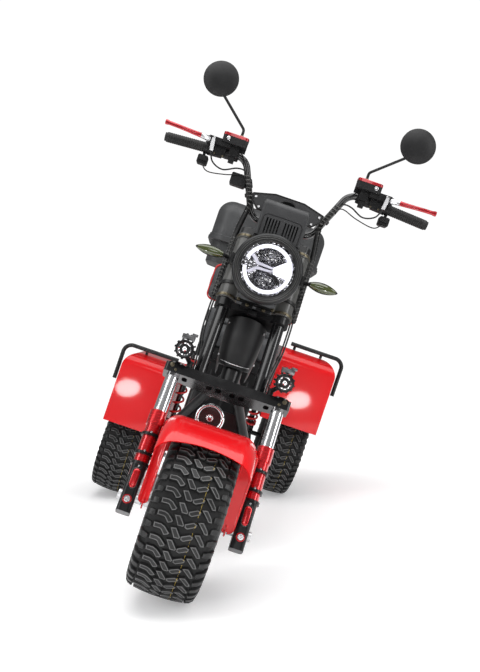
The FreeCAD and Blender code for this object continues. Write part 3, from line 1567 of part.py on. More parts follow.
def build():
    """All nodes by name, in the upright frame."""
    parts = {}
    centre = vec(0, 0, tyre_radius)
    for name, shape in (("front_tyre", tyre()), ("front_rim", front_wheel_rim())):
        shape.translate(centre)
        parts[name] = shape
    for side, word in ((-1, "right"), (1, "left")):
        parts["rear_tyre_" + word] = unit_place(tyre(), side)
        parts["rear_rim_" + word] = unit_place(rear_wheel_rim(side), side)
        parts["swingarm_" + word] = swingarm(side)
        parts["rear_fender_" + word] = rear_fender(side)
        parts["guard_rail_" + word] = guard_rail(side)
        parts["shock_" + word] = shock(side)
    pair = (-1, 1)
    parts["fork_shoes"] = on_fork(Part.makeCompound([fork_shoe(side) for side in pair]))
    parts["fork_sliders"] = on_fork(Part.makeCompound([slider(side) for side in pair]))
    parts["slider_rings"] = on_fork(slider_rings())
    parts["fork_tubes"] = on_fork(Part.makeCompound([fork_tube(side) for side in pair]))
    parts["upper_tubes"] = on_fork(Part.makeCompound([upper_tube(side) for side in pair]))
    parts["yoke_plate"] = on_fork(yoke_plate())
    parts["mid_yoke"] = on_fork(mid_yoke())
    parts["fork_shrouds"] = on_fork(Part.makeCompound([fork_shroud(side) for side in pair]))
    parts["headlight_ears"] = headlight_ears()
    parts["top_yoke"] = top_yoke()
    parts["handlebar"] = handlebar()
    parts["hand_grips"] = hand_grips()
    parts["hand_levers"] = both(hand_lever(lever_radius))
    parts["hand_controls"] = hand_controls()
    parts["mirrors"] = mirrors()
    parts["cable_bundles"] = Part.makeCompound([bundle(side) for side in pair])
    parts["front_axle"] = front_axle()
    parts["front_caliper"] = front_caliper()
    parts["front_fender"] = front_fender()
    parts["headlight_shell"] = headlight_shell()
    parts["headlight_reflector"] = headlight_reflector()
    parts["headlight_lens"] = headlight_lens()
    parts["turn_signals"] = turn_signals()
    parts["aux_lamps"] = aux_lamp_bodies()
    parts["cowl"] = cowl()
    parts["instrument_plate"] = instrument_plate()
    parts["main_frame"] = main_frame()
    parts["neck_cover"] = neck_cover()
    parts["battery_box"] = battery_box()
    parts["foot_deck"] = foot_deck()
    parts["horn"] = horn()
    parts["boot_box"] = boot_box()
    parts["rider_seat"] = rider_seat()
    parts["passenger_seat"] = passenger_seat()
    parts["backrest"] = backrest()
    parts["case_rack"] = case_rack()
    parts["top_case_base"] = top_case_base()
    parts["top_case_lid"] = top_case_lid()
    parts["tail_lamp"] = tail_lamp()
    parts["plate_holder"] = plate_holder()
    return parts


def main():
    os.makedirs("parts", exist_ok=True)
    parts = build()
    shift = world_place(parts)
    print("shift", round(shift.x, 3), round(shift.y, 3), round(shift.z, 3))
    for name, shape in parts.items():
        if not shape.isValid():
            print("not valid:", name)
        solids = len(shape.Solids)
        print(name, solids, round(shape.Volume / 1e6, 3))
        shape.exportStep("parts/" + name + ".step")


main()
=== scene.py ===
"""Dresses a tilting electric trike: finishes, lamps, tread, seats, cables and small fittings.

Sizes are millimetres in the trike's upright frame: X across, Y rearwards, Z up, with the origin on the
ground under the front axle. Stance turns them into the leaned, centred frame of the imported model.
"""

import json
import logging
import math
from dataclasses import dataclass, field
from enum import Enum
from typing import Any, Callable, Iterable, Optional, Sequence

import bmesh
import bpy
from mathutils import Matrix, Vector

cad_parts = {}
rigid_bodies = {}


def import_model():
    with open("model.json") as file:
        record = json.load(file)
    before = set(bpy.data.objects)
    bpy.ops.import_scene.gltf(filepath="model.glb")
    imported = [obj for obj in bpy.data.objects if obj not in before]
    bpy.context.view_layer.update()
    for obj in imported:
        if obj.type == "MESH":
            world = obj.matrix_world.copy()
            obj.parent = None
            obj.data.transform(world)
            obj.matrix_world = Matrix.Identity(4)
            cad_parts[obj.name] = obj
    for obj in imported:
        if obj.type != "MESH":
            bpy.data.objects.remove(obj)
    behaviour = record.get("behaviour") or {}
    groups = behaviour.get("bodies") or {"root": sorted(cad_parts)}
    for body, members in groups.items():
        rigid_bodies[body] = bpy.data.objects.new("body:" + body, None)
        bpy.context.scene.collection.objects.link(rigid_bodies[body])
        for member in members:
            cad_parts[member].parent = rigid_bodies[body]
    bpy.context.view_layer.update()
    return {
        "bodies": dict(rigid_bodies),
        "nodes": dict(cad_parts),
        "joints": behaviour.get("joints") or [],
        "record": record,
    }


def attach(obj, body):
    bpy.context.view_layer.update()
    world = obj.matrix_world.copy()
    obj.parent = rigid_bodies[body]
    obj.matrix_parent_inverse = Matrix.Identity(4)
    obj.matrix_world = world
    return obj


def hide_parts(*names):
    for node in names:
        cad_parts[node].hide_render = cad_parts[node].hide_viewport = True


log = logging.getLogger("trike")

Point = tuple[float, float, float]
Face = tuple[int, ...]
Row = list[Vector]
Outline = Sequence[tuple[float, float]]
Lay = Callable[[float, float, float], Vector]

ACROSS = Vector((1, 0, 0))
FRONT = Vector((0, -1, 0))
REAR = Vector((0, 1, 0))
UP = Vector((0, 0, 1))
DOWN = Vector((0, 0, -1))


class Side(Enum):
    """Side of the trike, seen by its rider."""

    RIGHT = -1
    LEFT = 1

    @property
    def word(self) -> str:
        """Name used in the nodes of this side."""
        return self.name.lower()


class Body(Enum):
    """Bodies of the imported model."""

    CHASSIS = "chassis"
    STEERING = "steering"
    FRONT_WHEEL = "front_wheel"
    REAR_WHEEL_LEFT = "rear_wheel_left"
    REAR_WHEEL_RIGHT = "rear_wheel_right"
    CASE_LID = "case_lid"


class Slot(Enum):
    """Material slots of the record."""

    TYRE = "tyre"
    RIM = "rim"
    RED_PAINT = "red_paint"
    RED_ANODISED = "red_anodised"
    CHROME = "bright_chrome"
    BLACK_STEEL = "black_steel"
    SATIN_GREY = "satin_grey"
    ALLOY = "bare_alloy"
    BLACK_PLASTIC = "black_plastic"
    CASE_PLASTIC = "case_plastic"
    RUBBER = "rubber"
    CLEAR_LENS = "clear_lens"
    RED_LENS = "red_lens"
    RED_SPRING = "red_spring"
    LEATHER = "seat_leather"


# Shader graphs


def joined(operation: str, swapped: bool = False) -> Callable[["Signal", Any], "Signal"]:
    """Arithmetic method for Signal.

    Args:
        operation: Name of the Math operation.
        swapped: True puts the signal second.

    Returns:
        Method that joins the signal with another value by one Math node.
    """
    return lambda signal, other: signal.maths(operation, other, swapped=swapped)


class Signal:
    """A value of a shader graph that takes part in Python arithmetic."""

    __add__ = __radd__ = joined("ADD")
    __mul__ = __rmul__ = joined("MULTIPLY")
    __sub__ = joined("SUBTRACT")
    __rsub__ = joined("SUBTRACT", swapped=True)
    __lt__ = joined("LESS_THAN")

    def __init__(self, graph: "Graph", socket: bpy.types.NodeSocket) -> None:
        """Wrap an output socket of a graph."""
        self.graph = graph
        self.socket = socket

    def maths(self, operation: str, *others: Any, swapped: bool = False, clamp: bool = False) -> "Signal":
        """Join this value with others by one Math node.

        Args:
            operation: Name of the Math operation.
            others: Numbers or signals for the further inputs.
            swapped: True puts this value second.
            clamp: True keeps the result between 0 and 1.

        Returns:
            The node's result.
        """
        terms = [self, *others]
        if swapped:
            terms = [others[0], self]
        node = self.graph.node("ShaderNodeMath", {"operation": operation, "use_clamp": clamp}, dict(enumerate(terms)))
        return Signal(self.graph, node.outputs[0])

    def __abs__(self) -> "Signal":
        """Distance from zero."""
        return self.maths("ABSOLUTE")

    def clamped(self) -> "Signal":
        """This value kept between 0 and 1."""
        return self.maths("ADD", 0, clamp=True)

    def power(self, exponent: float) -> "Signal":
        """This value raised to a power."""
        return self.maths("POWER", exponent)

    def smooth(self, low: float, high: float) -> "Signal":
        """Ease this value in.

        Args:
            low: Below this the result is 0.
            high: Above this the result is 1.

        Returns:
            The eased value.
        """
        node = self.graph.node(
            "ShaderNodeMapRange", {"interpolation_type": "SMOOTHSTEP"}, {0: self, 1: low, 2: high, 3: 0, 4: 1})
        return Signal(self.graph, node.outputs[0])


class NodeGraph:
    """Node tree that grows by one call for each node."""

    tree: bpy.types.NodeTree

    def source(self, value: Any) -> Any:
        """Socket or plain value that feeds an input."""
        return value.socket if isinstance(value, Signal) else value

    def node(self, kind: str, settings: Optional[dict[str, Any]] = None,
             inputs: Optional[dict[Any, Any]] = None) -> bpy.types.Node:
        """Add one node.

        Args:
            kind: Node type.
            settings: Properties, set before the sockets.
            inputs: Numbers, tuples, sockets or signals by input name or index.

        Returns:
            The new node.
        """
        made = self.tree.nodes.new(kind)
        for key, value in (settings or {}).items():
            setattr(made, key, value)
        for key, value in (inputs or {}).items():
            source = self.source(value)
            if isinstance(source, bpy.types.NodeSocket):
                self.tree.links.new(source, made.inputs[key])
            else:
                made.inputs[key].default_value = source
        return made


class Graph(NodeGraph):
    """Node graph of one material."""

    def __init__(self, name: str) -> None:
        """Start an empty graph."""
        self.material = bpy.data.materials.new(name)
        self.material.use_nodes = True
        self.tree = self.material.node_tree
        self.tree.nodes.clear()

    def place(self, scale: Point = (1, 1, 1)) -> bpy.types.NodeSocket:
        """Object coordinates, scaled."""
        where = self.node("ShaderNodeTexCoord").outputs["Object"]
        return self.node("ShaderNodeMapping", {}, {"Vector": where, "Scale": scale}).outputs[0]

    def noise(self, scale: float, detail: float = 3, where: Optional[bpy.types.NodeSocket] = None,
              roughness: float = 0.5) -> Signal:
        """Soft noise between 0 and 1.

        Args:
            scale: Cells per metre.
            detail: Octaves.
            where: Coordinates, or none for object coordinates.
            roughness: Weight of the finer octaves.

        Returns:
            The noise value.
        """
        where = where or self.place()
        node = self.node(
            "ShaderNodeTexNoise", {}, {"Vector": where, "Scale": scale, "Detail": detail, "Roughness": roughness})
        return Signal(self, node.outputs["Fac"])

    def cells(self, scale: float, feature: str = "F1") -> Signal:
        """Distance to the points of a cell pattern."""
        node = self.node("ShaderNodeTexVoronoi", {"feature": feature}, {"Vector": self.place(), "Scale": scale})
        return Signal(self, node.outputs["Distance"])

    def axis(self, where: bpy.types.NodeSocket, index: int) -> Signal:
        """One coordinate of a vector."""
        return Signal(self, self.node("ShaderNodeSeparateXYZ", {}, {0: where}).outputs[index])

    def own(self, name: str) -> Signal:
        """A number kept in the mesh as an attribute."""
        return Signal(self, self.node("ShaderNodeAttribute", {"attribute_name": name}).outputs["Fac"])

    def mix(self, amount: Any, first: Any, second: Any, blend: str = "MIX") -> bpy.types.NodeSocket:
        """Blend of two colours.

        Args:
            amount: Share of the second colour.
            first: Colour or socket.
            second: Colour or socket.
            blend: Name of the blend.

        Returns:
            The blended colour.
        """
        ends = [c if isinstance(c, bpy.types.NodeSocket) else (*c, 1) for c in (first, second)]
        node = self.node(
            "ShaderNodeMix", {"data_type": "RGBA", "blend_type": blend}, {0: amount, 6: ends[0], 7: ends[1]})
        return node.outputs[2]

    def bump(self, height: Signal, strength: float, distance: float) -> bpy.types.NodeSocket:
        """Normal bent by a height."""
        return self.node(
            "ShaderNodeBump", {}, {"Strength": strength, "Distance": distance, "Height": height}).outputs[0]

    def surface(self, **sockets: Any) -> bpy.types.Material:
        """Close the graph with one principled surface.

        Args:
            sockets: Values by socket name, with underscores for spaces.

        Returns:
            The finished material.
        """
        inputs = {key.replace("_", " "): value for key, value in sockets.items()}
        shader = self.node("ShaderNodeBsdfPrincipled", {}, inputs)
        self.node("ShaderNodeOutputMaterial", {}, {"Surface": shader.outputs[0]})
        return self.material


# Finishes


@dataclass(frozen=True)
class Finish:
    """Look of one kind of surface."""

    name: str
    slot: Slot
    colour: Point

    def tint(self, scale: float, lift: float = 0) -> Point:
        """The finish's colour, scaled and lifted."""
        return tuple(min(1, c * scale + lift) for c in self.colour)

    def paint(self, graph: Graph) -> bpy.types.Material:
        """Build the look in an empty graph."""
        raise NotImplementedError

    def material(self) -> bpy.types.Material:
        """The finish's material, made once."""
        return bpy.data.materials.get(self.name) or self.paint(Graph(self.name))


@dataclass(frozen=True)
class GlossPaint(Finish):
    """Bright moulded colour under clear lacquer."""

    shade: Point
    roughness: float = 0.24

    def paint(self, graph: Graph) -> bpy.types.Material:
        """Even colour with faint clouding and orange peel."""
        cloud = graph.noise(7, 4).smooth(0.3, 0.75)
        peel = graph.noise(260, 2)
        return graph.surface(
            Base_Color=graph.mix(cloud, self.colour, self.shade), Specular_IOR_Level=0.14, Roughness=self.roughness
            + 0.03 * cloud, Coat_Weight=0.5, Coat_Roughness=0.045, Normal=graph.bump(peel, 0.06, 0.0006))


@dataclass(frozen=True)
class Metal(Finish):
    """Bare or plated metal with a fine drawn grain."""

    roughness: float = 0.25
    streak: Point = (1, 1, 1)
    tarnish: float = 0.25

    def paint(self, graph: Graph) -> bpy.types.Material:
        """Grain in the roughness and slightly clouded colour."""
        grain = graph.noise(120, 4, graph.place(self.streak))
        cloud = graph.noise(16, 3).smooth(0.35, 0.8)
        dim = self.tint(1 - self.tarnish)
        return graph.surface(Base_Color=graph.mix(cloud, self.colour, dim), Metallic=1, Roughness=self.roughness
                             + (grain - 0.5) * 0.08, Normal=graph.bump(grain, 0.03, 0.0002))


@dataclass(frozen=True)
class Anodised(Finish):
    """Dyed alloy, bright under a clear skin."""

    roughness: float = 0.2

    def paint(self, graph: Graph) -> bpy.types.Material:
        """Half metallic colour with turned marks."""
        turned = graph.noise(90, 3, graph.place((1, 1, 6)))
        cloud = graph.noise(11, 2)
        dark = self.tint(0.72)
        return graph.surface(
            Base_Color=graph.mix(cloud, self.colour, dark), Metallic=0.55 + 0.2 * cloud, Roughness=self.roughness
            + 0.12 * turned, Coat_Weight=0.8, Coat_Roughness=0.06, Normal=graph.bump(turned, 0.05, 0.0003))


@dataclass(frozen=True)
class Powder(Finish):
    """Stoved or sprayed coat on steel."""

    roughness: float = 0.34
    coat: float = 0.35
    grain: float = 900

    def paint(self, graph: Graph) -> bpy.types.Material:
        """Fine orange peel and light dust on a dark coat."""
        peel = graph.noise(self.grain, 2)
        dust = graph.noise(13, 5, roughness=0.6).smooth(0.45, 0.8)
        pale = self.tint(1.5, 0.012)
        return graph.surface(
            Base_Color=graph.mix(dust, self.colour, pale), Roughness=self.roughness + 0.12 * dust,
            Specular_IOR_Level=0.2, Coat_Weight=self.coat, Coat_Roughness=0.14, Normal=graph.bump(peel, 0.12, 0.0003))


@dataclass(frozen=True)
class Moulding(Finish):
    """Plastic with a leather-like mould grain."""

    roughness: float = 0.5
    grain: float = 1400
    depth: float = 0.16

    def paint(self, graph: Graph) -> bpy.types.Material:
        """Cell grain and a little handling wear."""
        grain = graph.cells(self.grain, "SMOOTH_F1")
        rub = graph.noise(10, 4).smooth(0.4, 0.8)
        pale = self.tint(1.35, 0.006)
        return graph.surface(Base_Color=graph.mix(rub, self.colour, pale), Roughness=self.roughness - 0.12 * rub + 0.05
                             * grain, Specular_IOR_Level=0.26, Normal=graph.bump(grain, self.depth, 0.0004))


@dataclass(frozen=True)
class TreadRubber(Finish):
    """Tyre rubber: dark blocks with a painted highlight on the lug rims, duller grooves and a painted line round the
    tread.
    """

    line_place: float
    line_half_width: float

    def paint(self, graph: Graph) -> bpy.types.Material:
        """Read the place across the tyre and the height over the carcass from the mesh."""
        across = graph.own("across")
        height = graph.own("height")
        cloud = graph.noise(34, 5, roughness=0.62)
        grooves = 1 - height.smooth(0.15, 0.8)
        worn = self.tint(1.6, 0.003)
        rubber = graph.mix(cloud.smooth(0.35, 0.75), self.colour, worn)
        # Painted highlight: the raised rim on each lug's top, away from the shoulders, is lightened as if it caught
        # the light.
        rim = height.smooth(0.93, 0.98) * (1 - abs(across).smooth(70, 76))
        edge_highlight_colour = graph.mix((rim * (0.35 + 0.4 * cloud)).clamped(), (0, 0, 0), (0.20, 0.20, 0.20))
        lit = graph.mix(1, rubber, edge_highlight_colour, "ADD")
        line = (abs(across - self.line_place) < self.line_half_width) * graph.noise(150, 2).smooth(0.47, 0.55)
        base = graph.mix(line, (0, 0, 0), (0.42, 0.3, 0.05))
        pores = graph.noise(700, 3)
        return graph.surface(Base_Color=graph.mix(line, lit, base), Roughness=0.33 + 0.35 * grooves + 0.1 * cloud,
                             Specular_IOR_Level=0.4, Normal=graph.bump(pores, 0.2, 0.0004))


@dataclass(frozen=True)
class PlainRubber(Finish):
    """Soft black rubber or cable skin."""

    roughness: float = 0.55

    def paint(self, graph: Graph) -> bpy.types.Material:
        """Dusty rubber with fine pores."""
        pores = graph.noise(500, 4)
        dust = graph.noise(30, 4).smooth(0.45, 0.8)
        pale = self.tint(1.8, 0.01)
        return graph.surface(Base_Color=graph.mix(dust, self.colour, pale), Roughness=self.roughness + 0.15 * dust,
                             Specular_IOR_Level=0.35, Normal=graph.bump(pores, 0.15, 0.0003))


@dataclass(frozen=True)
class Leather(Finish):
    """Grained synthetic leather."""

    shade: Point

    def paint(self, graph: Graph) -> bpy.types.Material:
        """Cell grain, soft creases and rubbed patches."""
        grain = graph.cells(520, "SMOOTH_F1")
        crease = graph.noise(26, 5, roughness=0.65)
        rub = graph.noise(8, 3).smooth(0.35, 0.75)
        return graph.surface(Base_Color=graph.mix(rub, self.colour, self.shade), Roughness=0.52 + 0.14 * crease,
                             Specular_IOR_Level=0.4, Normal=graph.bump(grain + crease * 1.6, 0.3, 0.0006))


@dataclass(frozen=True)
class Clear(Finish):
    """Clear or tinted moulding that what is behind shows through."""

    alpha: float = 0.16
    roughness: float = 0.05

    def paint(self, graph: Graph) -> bpy.types.Material:
        """Thin skin, a little less clear where it is hazed."""
        haze = graph.noise(12, 3).smooth(0.4, 0.9)
        hazed = self.tint(0.92)
        return graph.surface(Base_Color=graph.mix(haze, self.colour, hazed), Alpha=self.alpha + 0.05 * haze,
                             Roughness=self.roughness + 0.04 * haze, Coat_Weight=1, Coat_Roughness=0.02)


@dataclass(frozen=True)
class Optic(Finish):
    """Faceted bright reflector or cut lens."""

    facets: float = 110
    roughness: float = 0.08

    def paint(self, graph: Graph) -> bpy.types.Material:
        """Cells that bend the reflection, with painted shade that darkens the colour towards each cell's border."""
        cell = graph.cells(self.facets, "F1")
        dim = self.tint(0.06)
        # Painted shade: each facet stays bright in its middle and goes nearly black towards its border, standing in
        # for the facets' changing reflection.
        return graph.surface(Base_Color=graph.mix(cell.smooth(0.45, 0.8), self.colour, dim), Metallic=1,
                             Roughness=self.roughness + 0.1 * cell, Normal=graph.bump(cell, 0.9, 0.004))


@dataclass(frozen=True)
class Glow(Finish):
    """Lit diffuser."""

    strength: float

    def paint(self, graph: Graph) -> bpy.types.Material:
        """Slightly uneven white light."""
        ripple = graph.noise(70, 2).smooth(0.2, 0.8)
        dim = self.tint(0.86)
        light = graph.mix(ripple, self.colour, dim)
        return graph.surface(
            Base_Color=light, Roughness=0.4 + 0.05 * ripple, Emission_Color=light, Emission_Strength=self.strength)


@dataclass(frozen=True)
class Backdrop(Finish):
    """Pale studio floor."""

    def paint(self, graph: Graph) -> bpy.types.Material:
        """Matt white with the faintest mottling, and a painted glow that is dim under the trike and white further out.
        """
        mottle = graph.noise(3, 2)
        where = graph.place()
        x, y = graph.axis(where, 0), graph.axis(where, 1)
        # Painted light: the floor glows dimly near the middle and fully white from 2.3 metres out.
        glow_rise_outwards = (x * x + y * y).power(0.5).smooth(1, 2.3)
        dim = self.tint(0.985)
        return graph.surface(Base_Color=graph.mix(mottle, self.colour, dim), Roughness=0.9 - 0.1 * mottle,
                             Emission_Color=graph.mix(glow_rise_outwards, (0.27, 0.27, 0.275), (1, 1, 1)), Emission_Strength=1)


class Paints:
    """The trike's finishes."""

    RED = GlossPaint("red_lacquer", Slot.RED_PAINT, (0.64, 0.006, 0.009), (0.615, 0.0055, 0.0085))
    RED_LEG = Anodised("red_anodised_leg", Slot.RED_ANODISED, (0.62, 0.006, 0.012))
    RED_LEVER = Anodised("red_lever", Slot.RED_ANODISED, (0.42, 0.008, 0.016), 0.26)
    CHROME = Metal("polished_chrome", Slot.CHROME, (0.80, 0.80, 0.82), 0.17, (1, 1, 0.15), 0.1)
    ALLOY = Metal("machined_alloy", Slot.ALLOY, (0.62, 0.62, 0.63), 0.32)
    WHEEL = Metal("cast_wheel", Slot.RIM, (0.60, 0.61, 0.63), 0.36, (1, 1, 1), 0.2)
    BRASS = Metal("aged_brass", Slot.ALLOY, (0.15, 0.13, 0.09), 0.38)
    BLACK = Powder("black_powder_coat", Slot.BLACK_STEEL, (0.006, 0.006, 0.0065), 0.3, 0.2)
    GLOSS_BLACK = Powder("gloss_black", Slot.BLACK_STEEL, (0.005, 0.005, 0.0055), 0.16, 0.8, 1400)
    GREY = Powder("satin_grey_coat", Slot.SATIN_GREY, (0.070, 0.070, 0.067), 0.28, 0.3)
    PLASTIC = Moulding("black_moulding", Slot.BLACK_PLASTIC, (0.007, 0.007, 0.0075))
    COWL = Moulding("grey_moulding", Slot.BLACK_PLASTIC, (0.034, 0.0345, 0.036), 0.4)
    CASE = Moulding("case_moulding", Slot.CASE_PLASTIC, (0.036, 0.037, 0.038), 0.44)
    CASE_DARK = Moulding("case_moulding_dark", Slot.CASE_PLASTIC, (0.014, 0.014, 0.0145), 0.5)
    BEZEL = Moulding("lamp_bezel", Slot.BLACK_PLASTIC, (0.011, 0.0115, 0.012), 0.3, 2000, 0.06)
    RUBBER = PlainRubber("black_rubber", Slot.RUBBER, (0.006, 0.006, 0.006))
    CABLE = PlainRubber("cable_skin", Slot.RUBBER, (0.005, 0.005, 0.005), 0.36)
    TREAD = TreadRubber("tyre_rubber", Slot.TYRE, (0.0050, 0.0050, 0.0052), 31, 0.75)
    SEAT = Leather("grey_leather", Slot.LEATHER, (0.036, 0.037, 0.039), (0.050, 0.051, 0.054))
    PIPING = Leather("red_piping", Slot.LEATHER, (0.42, 0.02, 0.02), (0.36, 0.02, 0.02))
    LENS = Clear("lamp_cover", Slot.CLEAR_LENS, (0.03, 0.03, 0.035), 0.05)
    RED_LENS = Clear("tail_moulding", Slot.RED_LENS, (0.5, 0.01, 0.01), 0.85, 0.12)
    MIRROR_BOWL = Optic("lamp_reflector", Slot.CHROME, (0.50, 0.50, 0.53))
    FACETS = Optic("lamp_facets", Slot.CHROME, (0.85, 0.85, 0.87), 120)
    SILVER_GREY = Metal("silver_grey_metal", Slot.ALLOY, (0.16, 0.16, 0.165), 0.36)
    LED = Glow("led_ring", Slot.CLEAR_LENS, (0.90, 0.91, 1), 0.75)
    LED_DIM = Glow("led_bar", Slot.CLEAR_LENS, (0.62, 0.62, 0.72), 0.2)
    AMBER = Clear("signal_lens", Slot.CLEAR_LENS, (0.055, 0.068, 0.018), 0.92, 0.1)
    PROJECTOR = Clear("projector_glass", Slot.CLEAR_LENS, (0.03, 0.035, 0.05), 0.9, 0.03)
    SPRING = Powder("spring_lacquer", Slot.RED_SPRING, (0.48, 0.012, 0.012), 0.3, 0.6)
    FLOOR = Backdrop("studio_floor", Slot.RIM, (0.9, 0.9, 0.9))


# Placing and building


class Stance:
    """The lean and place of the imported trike."""

    RAKE_DEG = 25.5
    AXLE_HEIGHT = 225

    def __init__(self, joints: Sequence[dict[str, Any]]) -> None:
        """Read the front axle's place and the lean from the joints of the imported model."""
        self.joints = {joint["name"]: joint for joint in joints}
        steering = Vector(self.joints["steering"]["axis"])
        axle = Vector(self.joints["front_wheel_spin"]["pos_m"])
        self.lean = math.atan2(steering.x, steering.z)
        self.axle = axle
        turn = Matrix.Rotation(self.lean, 4, "Y")
        self.upright = (
            Matrix.Translation(axle) @ turn @ Matrix.Scale(0.001, 4) @ Matrix.Translation((0, 0, -self.AXLE_HEIGHT)))
        rake = Matrix.Rotation(-math.radians(self.RAKE_DEG), 4, "X")
        self.fork_turn = Matrix.Translation((0, 0, self.AXLE_HEIGHT)) @ rake

    def fork(self, x: float, behind: float, up: float) -> Vector:
        """Upright place of a point given along the fork legs."""
        return self.fork_turn @ Vector((x, behind, up))

    def wheel(self, body: Body) -> Vector:
        """Upright centre of a wheel from its joint."""
        return self.upright.inverted() @ Vector(self.joints[body.value + "_spin"]["pos_m"])


def circle(count: int, radius: float, start: float = 0) -> Outline:
    """Points round a circle.

    Args:
        count: How many.
        radius: The circle's radius.
        start: Angle of the first point.

    Returns:
        The points, counterclockwise.
    """
    return [(radius * math.cos(start + 2 * math.pi * i / count), radius * math.sin(start + 2 * math.pi * i / count))
            for i in range(count)]


def smooth_path(points: Sequence[Any], steps: int = 8) -> Row:
    """Even curve through points.

    Args:
        points: Places that the curve passes through.
        steps: Pieces between two places.

    Returns:
        Points along a Catmull-Rom curve.
    """
    points = [Vector(p) for p in points]
    ends = [points[0] * 2 - points[1], *points, points[-1] * 2 - points[-2]]
    path = []
    for a, b, c, d in zip(ends, ends[1:], ends[2:], ends[3:]):
        for step in range(steps):
            t = step / steps
            path.append(
                0.5 * (2 * b + (c - a) * t + (2 * a - 5 * b + 4 * c - d) * t * t + (3 * b - a - 3 * c + d) * t ** 3))
    return [*path, points[-1].copy()]


def drawn_in(outline: Outline, reach: float) -> Outline:
    """Outline with every edge moved inwards.

    Args:
        outline: Corners, counterclockwise.
        reach: Distance that each edge moves; less than zero moves it outwards.

    Returns:
        The moved corners.
    """
    moved = []
    count = len(outline)
    for i, (x, y) in enumerate(outline):
        before, after = outline[i - 1], outline[(i + 1) % count]
        first = Vector((x - before[0], y - before[1])).normalized()
        second = Vector((after[0] - x, after[1] - y)).normalized()
        inward = Vector((-first.y - second.y, first.x + second.x))
        share = reach / max(0.35, 0.5 * inward.length_squared)
        moved.append((x + inward.x * share, y + inward.y * share))
    return moved


def rounded_outline(half_u: float, half_v: float, corner: float, steps: int = 5) -> Outline:
    """Rectangle with round corners about the origin.

    Args:
        half_u: Half its width.
        half_v: Half its height.
        corner: Radius of its corners.
        steps: Pieces of each corner.

    Returns:
        The outline, counterclockwise.
    """
    points = []
    for i, (su, sv) in enumerate(((1, 1), (-1, 1), (-1, -1), (1, -1))):
        for step in range(steps + 1):
            turn = math.pi / 2 * (i + step / steps)
            points.append(
                (su * (half_u - corner) + corner * math.cos(turn), sv * (half_v - corner) + corner * math.sin(turn)))
    return points


def flat_face(middle: Point, across: Vector, up: Vector, out: Vector) -> Lay:
    """Maker of points on a flat face.

    Args:
        middle: Where both lengths are zero.
        across: Way of the first length.
        up: Way of the second length.
        out: Way of the height.

    Returns:
        Function that turns two lengths and a height into a point.
    """
    def lay(u: float, v: float, lift: float) -> Vector:
        """Point at two lengths and a height."""
        return Vector([m + u * a + v * b + lift * c for m, a, b, c in zip(middle, across, up, out)])
    return lay


